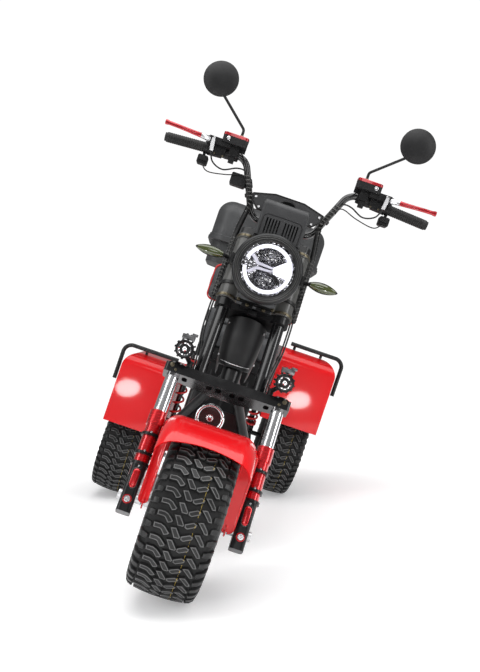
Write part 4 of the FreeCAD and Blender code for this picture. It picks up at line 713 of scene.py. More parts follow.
class Form:
    """Faces of one piece, gathered in upright millimetres."""

    def __init__(self) -> None:
        """Start with nothing."""
        self.points: list[Vector] = []
        self.faces: list[Face] = []
        self.paint: list[int] = []
        self.brush = 0

    def add(self, points: Iterable[Vector], faces: Iterable[Face]) -> "Form":
        """Add faces.

        Args:
            points: Their corners.
            faces: Corners of each face, counted from the first point.

        Returns:
            This form.
        """
        start = len(self.points)
        self.points.extend(Vector(p) for p in points)
        for face in faces:
            self.faces.append(tuple(start + i for i in face))
            self.paint.append(self.brush)
        return self

    def with_brush(self, index: int) -> "Form":
        """Paint what is added next with another of the piece's finishes."""
        self.brush = index
        return self

    def join(self, other: "Form", place: Optional[Matrix] = None) -> "Form":
        """Add another form.

        Args:
            other: The form; its finishes count from this form's brush.
            place: Matrix that moves it.

        Returns:
            This form.
        """
        start = len(self.points)
        move = place or Matrix.Identity(4)
        self.points.extend(move @ p for p in other.points)
        self.faces.extend(tuple(start + i for i in face) for face in other.faces)
        self.paint.extend(self.brush + index for index in other.paint)
        return self

    def mirrored(self) -> "Form":
        """The same form on the other side of the middle plane."""
        other = Form()
        other.points = [Vector((-p.x, p.y, p.z)) for p in self.points]
        other.faces = [tuple(reversed(face)) for face in self.faces]
        other.paint = list(self.paint)
        return other

    def loft(self, rows: Sequence[Row], closed: bool = True, caps: bool = True, ring: bool = False) -> "Form":
        """Skin over rows of points.

        Args:
            rows: Sections with equally many points.
            closed: True joins each row's last point to its first.
            caps: True closes the first and last row.
            ring: True joins the last row to the first.

        Returns:
            This form.
        """
        count = len(rows[0])
        faces = []
        spans = len(rows) if ring else len(rows) - 1
        for r in range(spans):
            a, b = r * count, ((r + 1) % len(rows)) * count
            for i in range(count if closed else count - 1):
                j = (i + 1) % count
                faces.append((a + i, a + j, b + j, b + i))
        if caps and not ring:
            faces.append(tuple(reversed(range(count))))
            faces.append(tuple(range((len(rows) - 1) * count, len(rows) * count)))
        return self.add([p for row in rows for p in row], faces)

    def patch(self, outline: Outline, rings: Outline, lay: Lay) -> "Form":
        """Raised pad with drawn-in rings, laid on a surface.

        Args:
            outline: Corners of the pad in the surface's own two lengths, counterclockwise.
            rings: How far each ring is drawn in, and its height.
            lay: Function that turns two lengths and a height into a point.

        Returns:
            This form.
        """
        return self.loft([[lay(u, v, lift) for u, v in drawn_in(outline, reach)] for reach, lift in rings])

    def box(self, low: Point, high: Point) -> "Form":
        """Box between two corners."""
        (x0, y0, z0), (x1, y1, z1) = low, high
        return self.loft([[(x0, y0, z), (x1, y0, z), (x1, y1, z), (x0, y1, z)] for z in (z0, z1)])

    def fix(self, head: "Form", spot: Any, aim: Vector) -> "Form":
        """Add a bolt or screw that stands on a spot and looks along a direction."""
        return self.join(head, facing(spot, aim))

    def tube(self, path: Sequence[Any], radius: float, sides: int = 14, caps: bool = True) -> "Form":
        """Round bar along a path.

        Args:
            path: Points of its middle line.
            radius: Half its thickness.
            sides: Faces round it.
            caps: True closes its ends.

        Returns:
            This form.
        """
        path = [Vector(p) for p in path]
        rows = []
        side: Optional[Vector] = None
        for i, point in enumerate(path):
            ahead = (path[min(i + 1, len(path) - 1)] - path[max(i - 1, 0)]).normalized()
            if side is None:
                side = ahead.orthogonal().normalized()
            side = (side - ahead * side.dot(ahead)).normalized()
            up = ahead.cross(side)
            rows.append([point + side * x + up * y for x, y in circle(sides, radius)])
        return self.loft(rows, caps=caps)

    def lathe(self, profile: Outline, place: Matrix, steps: int = 48, ring: bool = False) -> "Form":
        """Turned shape about the local Z axis of a matrix.

        Args:
            profile: Radius and height of each corner.
            place: Matrix of the lathe's axis.
            steps: Faces round the axis.
            ring: True closes the profile on itself.

        Returns:
            This form.
        """
        rows = []
        for radius, height in profile:
            rows.append([place @ Vector((x, y, height)) for x, y in circle(steps, max(radius, 0.001))])
        return self.loft(rows, caps=not ring, ring=ring)


def add_object(name: str, data: bpy.types.ID) -> bpy.types.Object:
    """New object of a mesh, light or camera, linked to the scene."""
    made = bpy.data.objects.new(name, data)
    bpy.context.scene.collection.objects.link(made)
    return made


def facing(centre: Any, direction: Vector) -> Matrix:
    """Matrix whose Z axis points along a direction from a centre."""
    return Matrix.Translation(centre) @ direction.to_track_quat("Z", "Y").to_matrix().to_4x4()


@dataclass
class Trim:
    """How a form is finished after it is made."""

    bevel: float = 0
    segments: int = 2
    levels: int = 0
    sharp_deg: float = 38


class Workshop:
    """Turns forms into dressed pieces of the trike."""

    def __init__(self, frame: dict[str, Any], stance: Stance) -> None:
        """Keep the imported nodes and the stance."""
        self.stance = stance
        self.nodes: dict[str, bpy.types.Object] = frame["nodes"]

    def coat(self, finish: Finish, *nodes: str) -> None:
        """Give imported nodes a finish."""
        for name in nodes:
            for place in self.nodes[name].material_slots:
                place.material = finish.material()
            log.info("%s: %s", name, finish.name)

    def bake(self, piece: bpy.types.Object) -> bpy.types.Object:
        """Put a piece's modifiers into its mesh.

        Args:
            piece: Object with modifiers.

        Returns:
            The same object without them.
        """
        bpy.context.view_layer.update()
        whole = bpy.data.meshes.new_from_object(piece.evaluated_get(bpy.context.evaluated_depsgraph_get()))
        old = piece.data
        piece.modifiers.clear()
        piece.data = whole
        bpy.data.meshes.remove(old)
        whole.name = piece.name
        return piece

    def raw(self, name: str, form: Form, finishes: Sequence[Finish], placed: bool = True) -> bpy.types.Object:
        """Plain object of a form.

        Args:
            name: Object name.
            form: Its faces.
            finishes: Finishes by brush.
            placed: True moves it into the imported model's frame.

        Returns:
            The object, linked to the scene.
        """
        mesh = bpy.data.meshes.new(name)
        mesh.from_pydata([tuple(p) for p in form.points], [], form.faces)
        for finish in finishes:
            mesh.materials.append(finish.material())
        mesh.polygons.foreach_set("material_index", form.paint)
        if placed:
            mesh.transform(self.stance.upright)
        shape = bmesh.new()
        shape.from_mesh(mesh)
        bmesh.ops.remove_doubles(shape, verts=shape.verts, dist=2e-6 if placed else 2e-3)
        bmesh.ops.recalc_face_normals(shape, faces=shape.faces)
        shape.to_mesh(mesh)
        shape.free()
        return add_object(name, mesh)

    def make(self, name: str, form: Form, finishes: Sequence[Finish], body: Body = Body.STEERING, trim: Trim = Trim(),
             replaces: Sequence[str] = ()) -> bpy.types.Object:
        """Finished piece that rides on a body.

        Args:
            name: Piece name.
            form: Its faces.
            finishes: Finishes by brush.
            body: Body that it moves with.
            trim: Bevel, smoothing and subdivision.
            replaces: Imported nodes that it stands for.

        Returns:
            The piece.
        """
        piece = self.raw(name, form, finishes)
        if trim.bevel:
            bevel = piece.modifiers.new("bevel", "BEVEL")
            bevel.width = trim.bevel * 0.001
            bevel.segments = trim.segments
            bevel.limit_method = "ANGLE"
            bevel.angle_limit = math.radians(trim.sharp_deg)
        if trim.levels:
            round_off = piece.modifiers.new("round", "SUBSURF")
            round_off.levels = round_off.render_levels = trim.levels
        if piece.modifiers:
            self.bake(piece)
        return self.settle(piece, finishes[0].slot, body, trim.sharp_deg, replaces)

    def settle(self, piece: bpy.types.Object, slot: Slot, body: Body, sharp_deg: float = 38,
               replaces: Sequence[str] = ()) -> bpy.types.Object:
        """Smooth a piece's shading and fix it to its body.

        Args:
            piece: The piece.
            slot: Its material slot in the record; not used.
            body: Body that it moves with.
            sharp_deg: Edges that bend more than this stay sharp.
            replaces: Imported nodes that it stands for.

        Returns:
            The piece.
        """
        piece.data.shade_smooth()
        piece.data.set_sharp_from_angle(angle=math.radians(sharp_deg))
        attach(piece, body.value)
        if replaces:
            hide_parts(*replaces)
        log.info("%s: %d faces on %s", piece.name, len(piece.data.polygons), body.value)
        return piece

    def pair(self, name: str, form: Form, finishes: Sequence[Finish], replaces: Sequence[str] = ()) -> None:
        """Make a piece of the steering on both sides.

        Args:
            name: Piece name before the side's word.
            form: Faces of the left piece.
            finishes: Finishes by brush.
            replaces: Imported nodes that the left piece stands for.
        """
        for side in Side:
            shape, nodes = (form, replaces) if side is Side.LEFT else (form.mirrored(), ())
            self.make("%s_%s" % (name, side.word), shape, finishes, replaces=nodes)


class Assembly:
    """Part of the trike that is dressed as a whole."""

    def build(self, shop: Workshop) -> None:
        """Make the pieces of this part.

        Args:
            shop: Workshop that finishes them.
        """
        raise NotImplementedError


# Geometry trees


class Tree(NodeGraph):
    """Geometry Nodes tree with named inputs."""

    def __init__(self, name: str, sizes: dict[str, Any]) -> None:
        """Start a tree.

        Args:
            name: Tree name.
            sizes: Default of each input; whole numbers, numbers, objects, materials or vectors.
        """
        self.tree = bpy.data.node_groups.new(name, "GeometryNodeTree")
        self.kinds: dict[str, str] = {}
        self.tree.interface.new_socket("Geometry", in_out="INPUT", socket_type="NodeSocketGeometry")
        for label, value in sizes.items():
            kind = {int: "NodeSocketInt", float: "NodeSocketFloat", tuple: "NodeSocketVector",
                    bpy.types.Object: "NodeSocketObject", bpy.types.Material: "NodeSocketMaterial"}[type(value)]
            made = self.tree.interface.new_socket(label, in_out="INPUT", socket_type=kind)
            made.default_value = value
            self.kinds[label] = made.identifier
        self.tree.interface.new_socket("Geometry", in_out="OUTPUT", socket_type="NodeSocketGeometry")
        self.entry = self.tree.nodes.new("NodeGroupInput")
        self.exit = self.tree.nodes.new("NodeGroupOutput")

    def source(self, value: Any) -> Any:
        """Socket or plain value; a string that starts with = names an input of the tree."""
        return self.entry.outputs[value[1:]] if isinstance(value, str) and value[:1] == "=" else value

    def maths(self, operation: str, *terms: Any) -> bpy.types.NodeSocket:
        """Result of one Math node."""
        return self.node("ShaderNodeMath", {"operation": operation}, dict(enumerate(terms))).outputs[0]

    def finish(self, geometry: bpy.types.NodeSocket) -> "Tree":
        """End the tree: real geometry with the chosen material."""
        real = self.node("GeometryNodeRealizeInstances", {}, {0: geometry})
        coat = self.node("GeometryNodeSetMaterial", {}, {0: real.outputs[0], "Material": "=Finish"})
        self.tree.links.new(coat.outputs[0], self.exit.inputs[0])
        return self

    def run(self, shop: Workshop, name: str, seed_mesh: bpy.types.Mesh, values: dict[str, Any]) -> bpy.types.Object:
        """Make a plain mesh object by this tree.

        Args:
            shop: Workshop that bakes it.
            name: Object name.
            seed_mesh: Mesh that enters the tree.
            values: Values of the tree's inputs by name.

        Returns:
            The object, without modifier.
        """
        piece = add_object(name, seed_mesh)
        modifier = piece.modifiers.new("pattern", "NODES")
        modifier.node_group = self.tree
        for label, value in values.items():
            modifier[self.kinds[label]] = value
        return shop.bake(piece)


# Studio


@dataclass
class Studio:
    """Pale floor, soft lights and the photograph's viewing angle."""

    camera_from_axle: Point = (0.1346, -2.3617, 0.5083)
    camera_turn_deg: Point = (89.579, 0.131, -0.459)
    lens: float = 46.19
    floor_half: float = 2.7
    surroundings: float = 0.26

    def build(self, stance: Stance) -> None:
        """Set up floor, world, lights and camera."""
        self.floor()
        self.world()
        self.lights(stance.axle + Vector(self.camera_from_axle))
        self.camera(stance)

    def floor(self) -> None:
        """Wide pale plane under the tyres."""
        mesh = bpy.data.meshes.new("studio_floor")
        h = self.floor_half
        mesh.from_pydata([(-h, -h, 0), (h, -h, 0), (h, h, 0), (-h, h, 0)], [], [(0, 1, 2, 3)])
        mesh.materials.append(Paints.FLOOR.material())
        plane = add_object("studio_floor", mesh)

    def world(self) -> None:
        """Even pale surroundings."""
        world = bpy.data.worlds.new("studio")
        world.use_nodes = True
        tree = world.node_tree
        back = tree.nodes["Background"]
        back.inputs["Color"].default_value = (1, 1, 1, 1)
        path = tree.nodes.new("ShaderNodeLightPath")
        level = tree.nodes.new("ShaderNodeMapRange")
        level.inputs["To Min"].default_value = self.surroundings
        level.inputs["To Max"].default_value = 1.05
        tree.links.new(path.outputs["Is Camera Ray"], level.inputs["Value"])
        tree.links.new(level.outputs[0], back.inputs["Strength"])
        bpy.context.scene.world = world
        bpy.context.scene.view_settings.view_transform = "Standard"

    def lamp(self, name: str, place: Point, target: Point, size: tuple[float, float], power: float,
             shape: str = "RECTANGLE") -> None:
        """One flat soft light.

        Args:
            name: Light name.
            place: Its middle, in metres.
            target: Point that it faces.
            size: Width and height.
            power: Watts.
            shape: RECTANGLE or ELLIPSE.
        """
        data = bpy.data.lights.new(name, "AREA")
        data.shape = shape
        data.size, data.size_y = size
        data.energy = power
        light = add_object(name, data)
        light.location = place
        light.rotation_euler = (Vector(target) - Vector(place)).to_track_quat("-Z", "Y").to_euler()

    def lights(self, eye: Vector) -> None:
        """Overhead bank, two side strips, a front fill, and two windows that the fenders mirror to the eye."""
        middle = (0, -0.2, 0.6)
        self.lamp("overhead", (0, -0.8, 3.2), middle, (3.6, 3), 105)
        self.lamp("left_strip", (-2.6, -1.8, 1.6), middle, (0.6, 2.4), 34)
        self.lamp("right_strip", (2.6, -1.6, 1.7), middle, (0.6, 2.4), 34)
        for name, across, down in (("left_window", -0.745, 0.41), ("right_window", 0.46, 0.50)):
            place = Vector((eye.x + across, -2, eye.z - down))
            self.lamp(name, place, place + Vector((-0.2 * across, 2.5, 0.1)), (0.17, 0.12), 1.7, "ELLIPSE")
        self.lamp("front_fill", (0.4, -4.2, 1.9), middle, (1.4, 1), 14)

    def camera(self, stance: Stance) -> None:
        """Camera of the photograph, placed from the front axle."""
        data = bpy.data.cameras.new("camera")
        data.lens = self.lens
        data.sensor_width = 36
        camera = add_object("camera", data)
        camera.location = stance.axle + Vector(self.camera_from_axle)
        camera.rotation_euler = [math.radians(a) for a in self.camera_turn_deg]
        bpy.context.scene.camera = camera


# Wheels


@dataclass
class Tread:
    """Lugs and carcass of one tyre, about its centre with the axle along X."""

    rows: int = 44
    pitch_share: float = 0.74
    depth: float = 8.5
    crown_radius: float = 225
    crown_half: float = 80
    crown_drop: float = 7
    crown_steps: int = 12
    shoulder: Outline = ((80, 218), (88.5, 214.2), (94.06, 207.5), (97.4, 196), (99, 183), (99, 157))
    wall: Outline = (
        (97.4, 150), (97, 146.5), (93.2, 137), (92.6, 133), (86.5, 122.5), (80.2, 115), (73.7, 115), (73.7, 106))

    def __post_init__(self) -> None:
        """Work out the outer profile, from the middle of the crown to the sidewall."""
        ball = (self.crown_half ** 2 + self.crown_drop ** 2) / (2 * self.crown_drop)
        self.profile: list[tuple[float, float]] = []
        for step in range(self.crown_steps):
            x = self.crown_half * step / self.crown_steps
            self.profile.append((x, self.crown_radius - ball + math.sqrt(ball * ball - x * x)))
        self.profile += self.shoulder

    def place(self, across: float) -> tuple[float, float, float, float]:
        """Point and outward direction of the profile.

        Args:
            across: Length along the profile from the middle, with its side's sign.

        Returns:
            Place across, radius, and the direction's two parts.
        """
        side = 1 if across >= 0 else -1
        left = abs(across)
        for (x0, r0), (x1, r1) in zip(self.profile, self.profile[1:]):
            length = math.hypot(x1 - x0, r1 - r0)
            if left <= length or (x1, r1) == self.profile[-1]:
                share = min(left / length, 1)
                return (side * (x0 + (x1 - x0) * share), r0 + (r1 - r0) * share, side * (r0 - r1) / length,
                        (x1 - x0) / length)
            left -= length
        raise ValueError(across)

    def at(self, across: float, along: float, lift: float) -> Vector:
        """Point on the tread: length across, length down the front, height over the outer profile."""
        x, radius, out_x, out_r = self.place(across)
        radius += out_r * lift
        turn = along / self.crown_radius
        return Vector((x + out_x * lift, -radius * math.sin(turn), radius * math.cos(turn)))

    def lug_point(self, u: float, v: float, lift: float) -> Vector:
        """Point of a lug, whose second length runs up the front."""
        return self.at(u, -v, lift)

    def lug(self, form: Form, outline: Outline) -> None:
        """One lug with chamfered edges and a sunk middle."""
        corners = [(u, -v * self.pitch_share) for u, v in outline]
        area = sum(a[0] * b[1] - b[0] * a[1] for a, b in zip(corners, [*corners[1:], corners[0]]))
        if area < 0:
            corners.reverse()
        form.patch(corners, [(-2.8, -self.depth - 0.5), (-1.4, -1.3), (-0.3, 0), (1.3, 0), (1.9, -1)], self.lug_point)

    def shoulder_lug(self, form: Form, stations: Sequence[Point]) -> None:
        """Lug that wraps over the shoulder.

        Args:
            form: Form that it is added to.
            stations: Length across, and where the lug starts and ends along the tyre.
        """
        rows = []
        last = len(stations) - 1
        for i, (u, start, end) in enumerate(stations):
            low, high = start * self.pitch_share - 1, end * self.pitch_share + 1
            foot = -self.depth - 0.5 if abs(u) < 134 else -1
            top = 0 if 0 < i < last else -1.3
            rows.append([self.at(u, low - 1, foot), self.at(u, low, top - 1.2), self.at(u, low + 1.3, top),
                         self.at(u, high - 1.3, top), self.at(u, high, top - 1.2), self.at(u, high + 1, foot)])
        form.loft(rows)

    def row(self) -> Form:
        """One row of lugs from shoulder to shoulder."""
        form = Form()
        self.shoulder_lug(form, [(-131, -4, 8), (-129, -4, 8), (-114, -7, 8), (-98, -9, 9), (-88, -9, 9), (-77, -7, 8),
                                 (-75.5, -6, 7)])
        self.lug(form, [(-69, -13), (-52, -14.5), (-42, -10), (-27, 7), (-29, 12), (-37, 17), (-48, 2), (-53, 0.5),
                        (-68, 2)])
        self.lug(form, [(-25, -14), (-13, -17), (3, 9), (1, 14), (-11, 15)])
        self.lug(form, [(6, 6), (25, -8), (34, -4), (33, 4), (14, 18), (7, 15)])
        self.lug(form, [(37, -13), (49, -17), (64, 5), (67, 16), (60, 18), (53, 8)])
        self.shoulder_lug(
            form, [(73, -3, 11), (74.5, -4, 12), (86, -9, 11), (97, -9, 9), (112, -7, 8), (129, -4, 8), (131, -4, 8)])
        return form

    def carcass(self, steps: int = 128) -> Form:
        """Tyre body under the lugs, with its sidewalls and beads."""
        outer = []
        for step in range(33):
            u = -152 + 304 * step / 32
            x, radius, out_x, out_r = self.place(u)
            sink = self.depth * min(1, max(0, (136 - abs(u)) / 14))
            outer.append((x - out_x * sink, radius - out_r * sink))
        profile = [*((-x, r) for x, r in reversed(self.wall)), *outer, *self.wall]
        rows = [[Vector((x, b, a)) for a, b in circle(steps, radius)] for x, radius in profile]
        return Form().loft(rows, caps=False, ring=True)


@dataclass
class Tyres(Assembly):
    """Three tyres that share one tread."""

    tread: Tread = field(default_factory=Tread)

    def marked(self, shop: Workshop, name: str, form: Form) -> bpy.types.Object:
        """Plain object that keeps each point's place across and height in its mesh."""
        piece = shop.raw(name, form, [Paints.TREAD], placed=False)
        stations = [self.tread.place(u) for u in range(0, 160, 2)]
        for label in ("across", "height"):
            piece.data.attributes.new(label, "FLOAT", "POINT")
        for point in piece.data.vertices:
            x, radius = abs(point.co.x), math.hypot(point.co.y, point.co.z)
            near = min(stations, key=lambda s: math.hypot(s[0] - x, s[1] - radius))
            lift = (x - near[0]) * near[2] + (radius - near[1]) * near[3]
            piece.data.attributes["across"].data[point.index].value = point.co.x
            piece.data.attributes["height"].data[point.index].value = 1 + lift / self.tread.depth
        return piece

    def ring_tree(self, carcass: bpy.types.Object) -> Tree:
        """Tree that repeats the row of lugs round the carcass."""
        tree = Tree("tread_ring", {"Rows": 3, "Finish": Paints.TREAD.material()})
        index = tree.node("GeometryNodeInputIndex")
        angle = tree.maths("MULTIPLY", index.outputs[0], tree.maths("DIVIDE", 2 * math.pi, "=Rows"))
        turn = tree.node("ShaderNodeCombineXYZ", {}, {0: angle})
        points = tree.node("GeometryNodePoints", {}, {"Count": "=Rows"})
        rows = tree.node("GeometryNodeInstanceOnPoints", {}, {"Points": points.outputs[0], "Instance": "=Geometry",
                                                              "Rotation": turn.outputs[0]})
        body = tree.node("GeometryNodeObjectInfo", {}, {"Object": carcass})
        whole = tree.node("GeometryNodeJoinGeometry", {}, {0: rows.outputs[0]})
        tree.tree.links.new(body.outputs["Geometry"], whole.inputs[0])
        return tree.finish(whole.outputs[0])

    def build(self, shop: Workshop) -> None:
        """Make the three tyres."""
        carcass = self.marked(shop, "carcass", self.tread.carcass())
        row = self.marked(shop, "tread_row", self.tread.row())
        whole = self.ring_tree(carcass).run(
            shop, "tyre_whole", row.data.copy(), {"Rows": self.tread.rows, "Finish": Paints.TREAD.material()})
        bpy.data.objects.remove(carcass)
        bpy.data.objects.remove(row)
        for body in (Body.FRONT_WHEEL, Body.REAR_WHEEL_LEFT, Body.REAR_WHEEL_RIGHT):
            node = body.value.replace("wheel", "tyre")
            mesh = whole.data.copy()
            centre = shop.stance.wheel(body)
            mesh.transform(shop.stance.upright @ Matrix.Translation(centre))
            mesh.name = node + "_tread"
            shop.settle(add_object(node + "_tread", mesh), Slot.TYRE, body, 32, [node])
        bpy.data.objects.remove(whole)


# Bolts and wheels


def screw_head(radius: float, height: float) -> Form:
    """Cheese-head screw about Z, standing on the origin, with a hexagonal socket.

    Args:
        radius: Radius of the head.
        height: Height of the head.

    Returns:
        The head.
    """
    sides, chamfer, hole_share, floor_share = 24, 0.88, 0.5, 0.35
    rim, floor = circle(sides, radius * chamfer), height * floor_share
    hole = []
    for x, y in rim:
        turn = math.atan2(y, x) % (math.pi / 3) - math.pi / 6
        share = radius * hole_share / math.cos(turn) / math.hypot(x, y)
        hole.append((x * share, y * share))
    form, foot = Form(), circle(sides, radius)
    form.loft([[(x, y, z) for x, y in row] for row, z in ((foot, 0), (foot, height * 0.8), (rim, height))], caps=False)
    form.loft([[(x, y, z) for x, y in row] for row, z in ((rim, height), (hole, height), (hole, floor))], caps=False)
    form.add([(x, y, floor) for x, y in hole], [tuple(range(sides))])
    return form.add([(x, y, 0) for x, y in foot], [tuple(reversed(range(sides)))])


def hex_head(radius: float, height: float) -> Form:
    """Hexagon bolt about Z with its washer, standing on the origin.

    Args:
        radius: Radius over the corners.
        height: Height of the head.

    Returns:
        The bolt.
    """
    form = Form()
    form.loft([[(x, y, z) for x, y in circle(24, radius * 1.25)] for z in (0, height * 0.25)])
    rows = [(radius, height * 0.2), (radius, height * 0.85), (radius * 0.84, height)]
    return form.loft([[(x, y, z) for x, y in circle(6, r)] for r, z in rows])


@dataclass
class WheelTrim(Assembly):
    """Bolts, covers and valves on the three rims.

    A front face lists the screws' radius and height, their number, the ring's radius and the face's place.
    """

    drum_half: float = 54
    drum_radius: float = 74
    front_faces: tuple[tuple[float, float, int, float, float], ...] = ((4.2, 3.6, 6, 25, 62), (4, 3, 10, 44, -96))

    def ring_of(self, head: Form, count: int, radius: float, x: float, side: float) -> Form:
        """Heads in a ring on a face across the axle.

        Args:
            head: One head about Z.
            count: How many.
            radius: Radius of the ring.
            x: Place of the face along the axle.
            side: Which way the face looks.

        Returns:
            All the heads.
        """
        form = Form()
        for y, z in circle(count, radius, 0.3):
            form.fix(head, (x, y, z), Vector((side, 0, 0)))
        return form

    def cover(self, x: float, side: float, profile: Outline) -> Form:
        """Turned cover on a face across the axle."""
        return Form().lathe(profile, facing((x, 0, 0), Vector((side, 0, 0))), 64)

    def valve(self) -> Form:
        """Rubber valve with its metal cap, set in the rim's well."""
        stem = [(30, 0, 84), (44, 0, 80), (60, 0, 78)]
        form = Form().tube(smooth_path(stem, 6), 4, 12)
        form.with_brush(1)
        return form.tube([(60, 0, 78), (68, 0, 77.2)], 4.6, 12)

    def build(self, shop: Workshop) -> None:
        """Dress the wheels."""
        for side in Side:
            body = Body["REAR_WHEEL_" + side.name]
            centre = Matrix.Translation(shop.stance.wheel(body))
            trim = Form()
            for face in (-1, 1):
                trim.join(self.ring_of(screw_head(4, 3.4), 8, self.drum_radius - 8, face * self.drum_half, face))
                trim.join(self.cover(face * self.drum_half, face, [(30, -0.5), (30, 2), (28, 3), (14, 3), (14, -0.5)]))
            shop.make("rim_trim_" + side.word, Form().join(trim, centre), [Paints.ALLOY], body)
            shop.make(
                "tyre_valve_" + side.word, Form().join(self.valve(), centre), [Paints.RUBBER, Paints.CHROME], body)
        centre = Matrix.Translation(shop.stance.wheel(Body.FRONT_WHEEL))
        trim = Form()
        for head, height, count, radius, x in self.front_faces:
            trim.join(self.ring_of(screw_head(head, height), count, radius, x, 1))
        shop.make("rim_trim_front", Form().join(trim, centre), [Paints.ALLOY], Body.FRONT_WHEEL)
        shop.make(
            "tyre_valve_front", Form().join(self.valve(), centre), [Paints.RUBBER, Paints.CHROME], Body.FRONT_WHEEL)


# Fork


@dataclass
class ForkTrim(Assembly):
    """Windows, bolts and bands on the two fork legs."""

    leg_x: float = 162
    tube_x: float = 90
    shoe_front: float = -25
    window_up: float = 47
    ring_face: float = -26.6
    ring_heights: Point = (82.5, 128.5, 185.5)
    shroud_bands: tuple[float, float] = (666, 887)

    def leg(self, x: float) -> Form:
        """Window and axle pinch bolt on one shoe, in fork coordinates."""
        form = Form()
        lay = flat_face((x, self.shoe_front, self.window_up), ACROSS, UP, FRONT)
        form.patch(rounded_outline(13, 31, 12.9, 8), [(0, -0.5), (0, 1), (0.8, 1.6), (2.2, 1.6), (2.8, 0.9)], lay)
        form.with_brush(1).patch(rounded_outline(9.8, 27.8, 9.7, 8), [(0, 0.6), (1.5, 1.6), (4, 2.4), (7, 2.8)], lay)
        place = Matrix.Translation((x, self.shoe_front, -14)) @ Matrix.Rotation(math.pi / 2, 4, "X")
        form.lathe([(12.5, -0.3), (12.5, 2.2), (11.6, 3), (9.6, 3), (9.6, -0.3)], place, 40, ring=True)
        form.with_brush(2).join(screw_head(8.8, 6), place)
        return form

    def build(self, shop: Workshop) -> None:
        """Dress the fork."""
        turn = shop.stance.fork_turn
        for side in Side:
            x = side.value * self.leg_x
            shop.make("shoe_trim_" + side.word, Form().join(self.leg(x), turn),
                      [Paints.GLOSS_BLACK, Paints.RED_LEG, Paints.CHROME])
            screws = Form()
            for up in self.ring_heights:
                screws.fix(screw_head(3, 2), (x, self.ring_face, up), FRONT)
            shop.make("ring_screws_" + side.word, Form().join(screws, turn), [Paints.CHROME])
            tube_x = side.value * self.tube_x
            collars = Form()
            for low in self.shroud_bands:
                foot = Matrix.Translation((tube_x, 0, low))
                collars.lathe([(31, 3), (32.6, 3), (32.9, 4), (32.9, 11), (32.6, 12), (31, 12)], foot, 56, ring=True)
                for u in (-9, 9):
                    aim = Vector((u / 32, -1, 0)).normalized()
                    collars.fix(screw_head(3.2, 2.4), Vector((tube_x, 0, low + 7.5)) + aim * 32.6, aim)
            shop.make("shroud_bands_" + side.word, Form().join(collars, turn), [Paints.BRASS])


# Lamps and horn


def band(form: Form, centre: Vector, radii: tuple[float, float], depths: tuple[float, float],
         turns: tuple[float, float], steps: int = 64) -> Form:
    """Part of a flat ring that faces the front.

    Args:
        form: Form that it is added to.
        centre: Middle of the ring; its own depth is not used.
        radii: Inner and outer radius.
        depths: Front and back of the ring.
        turns: Start and end in degrees, counterclockwise from the right.
        steps: Pieces along it.

    Returns:
        The form.
    """
    (inner, outer), (front, back) = radii, depths
    rows = []
    closed = abs(turns[1] - turns[0]) >= 359.9
    for step in range(steps if closed else steps + 1):
        turn = math.radians(turns[0] + (turns[1] - turns[0]) * step / steps)
        c, s = math.cos(turn), math.sin(turn)
        soft = min(1, (outer - inner) * 0.2)
        rows.append([Vector((centre.x + r * c, y, centre.z + r * s))
                     for r, y in ((inner, back), (inner, front + soft), (inner + soft, front), (outer - soft, front),
                                  (outer, front + soft), (outer, back))])
    return form.loft(rows, caps=not closed, ring=closed)


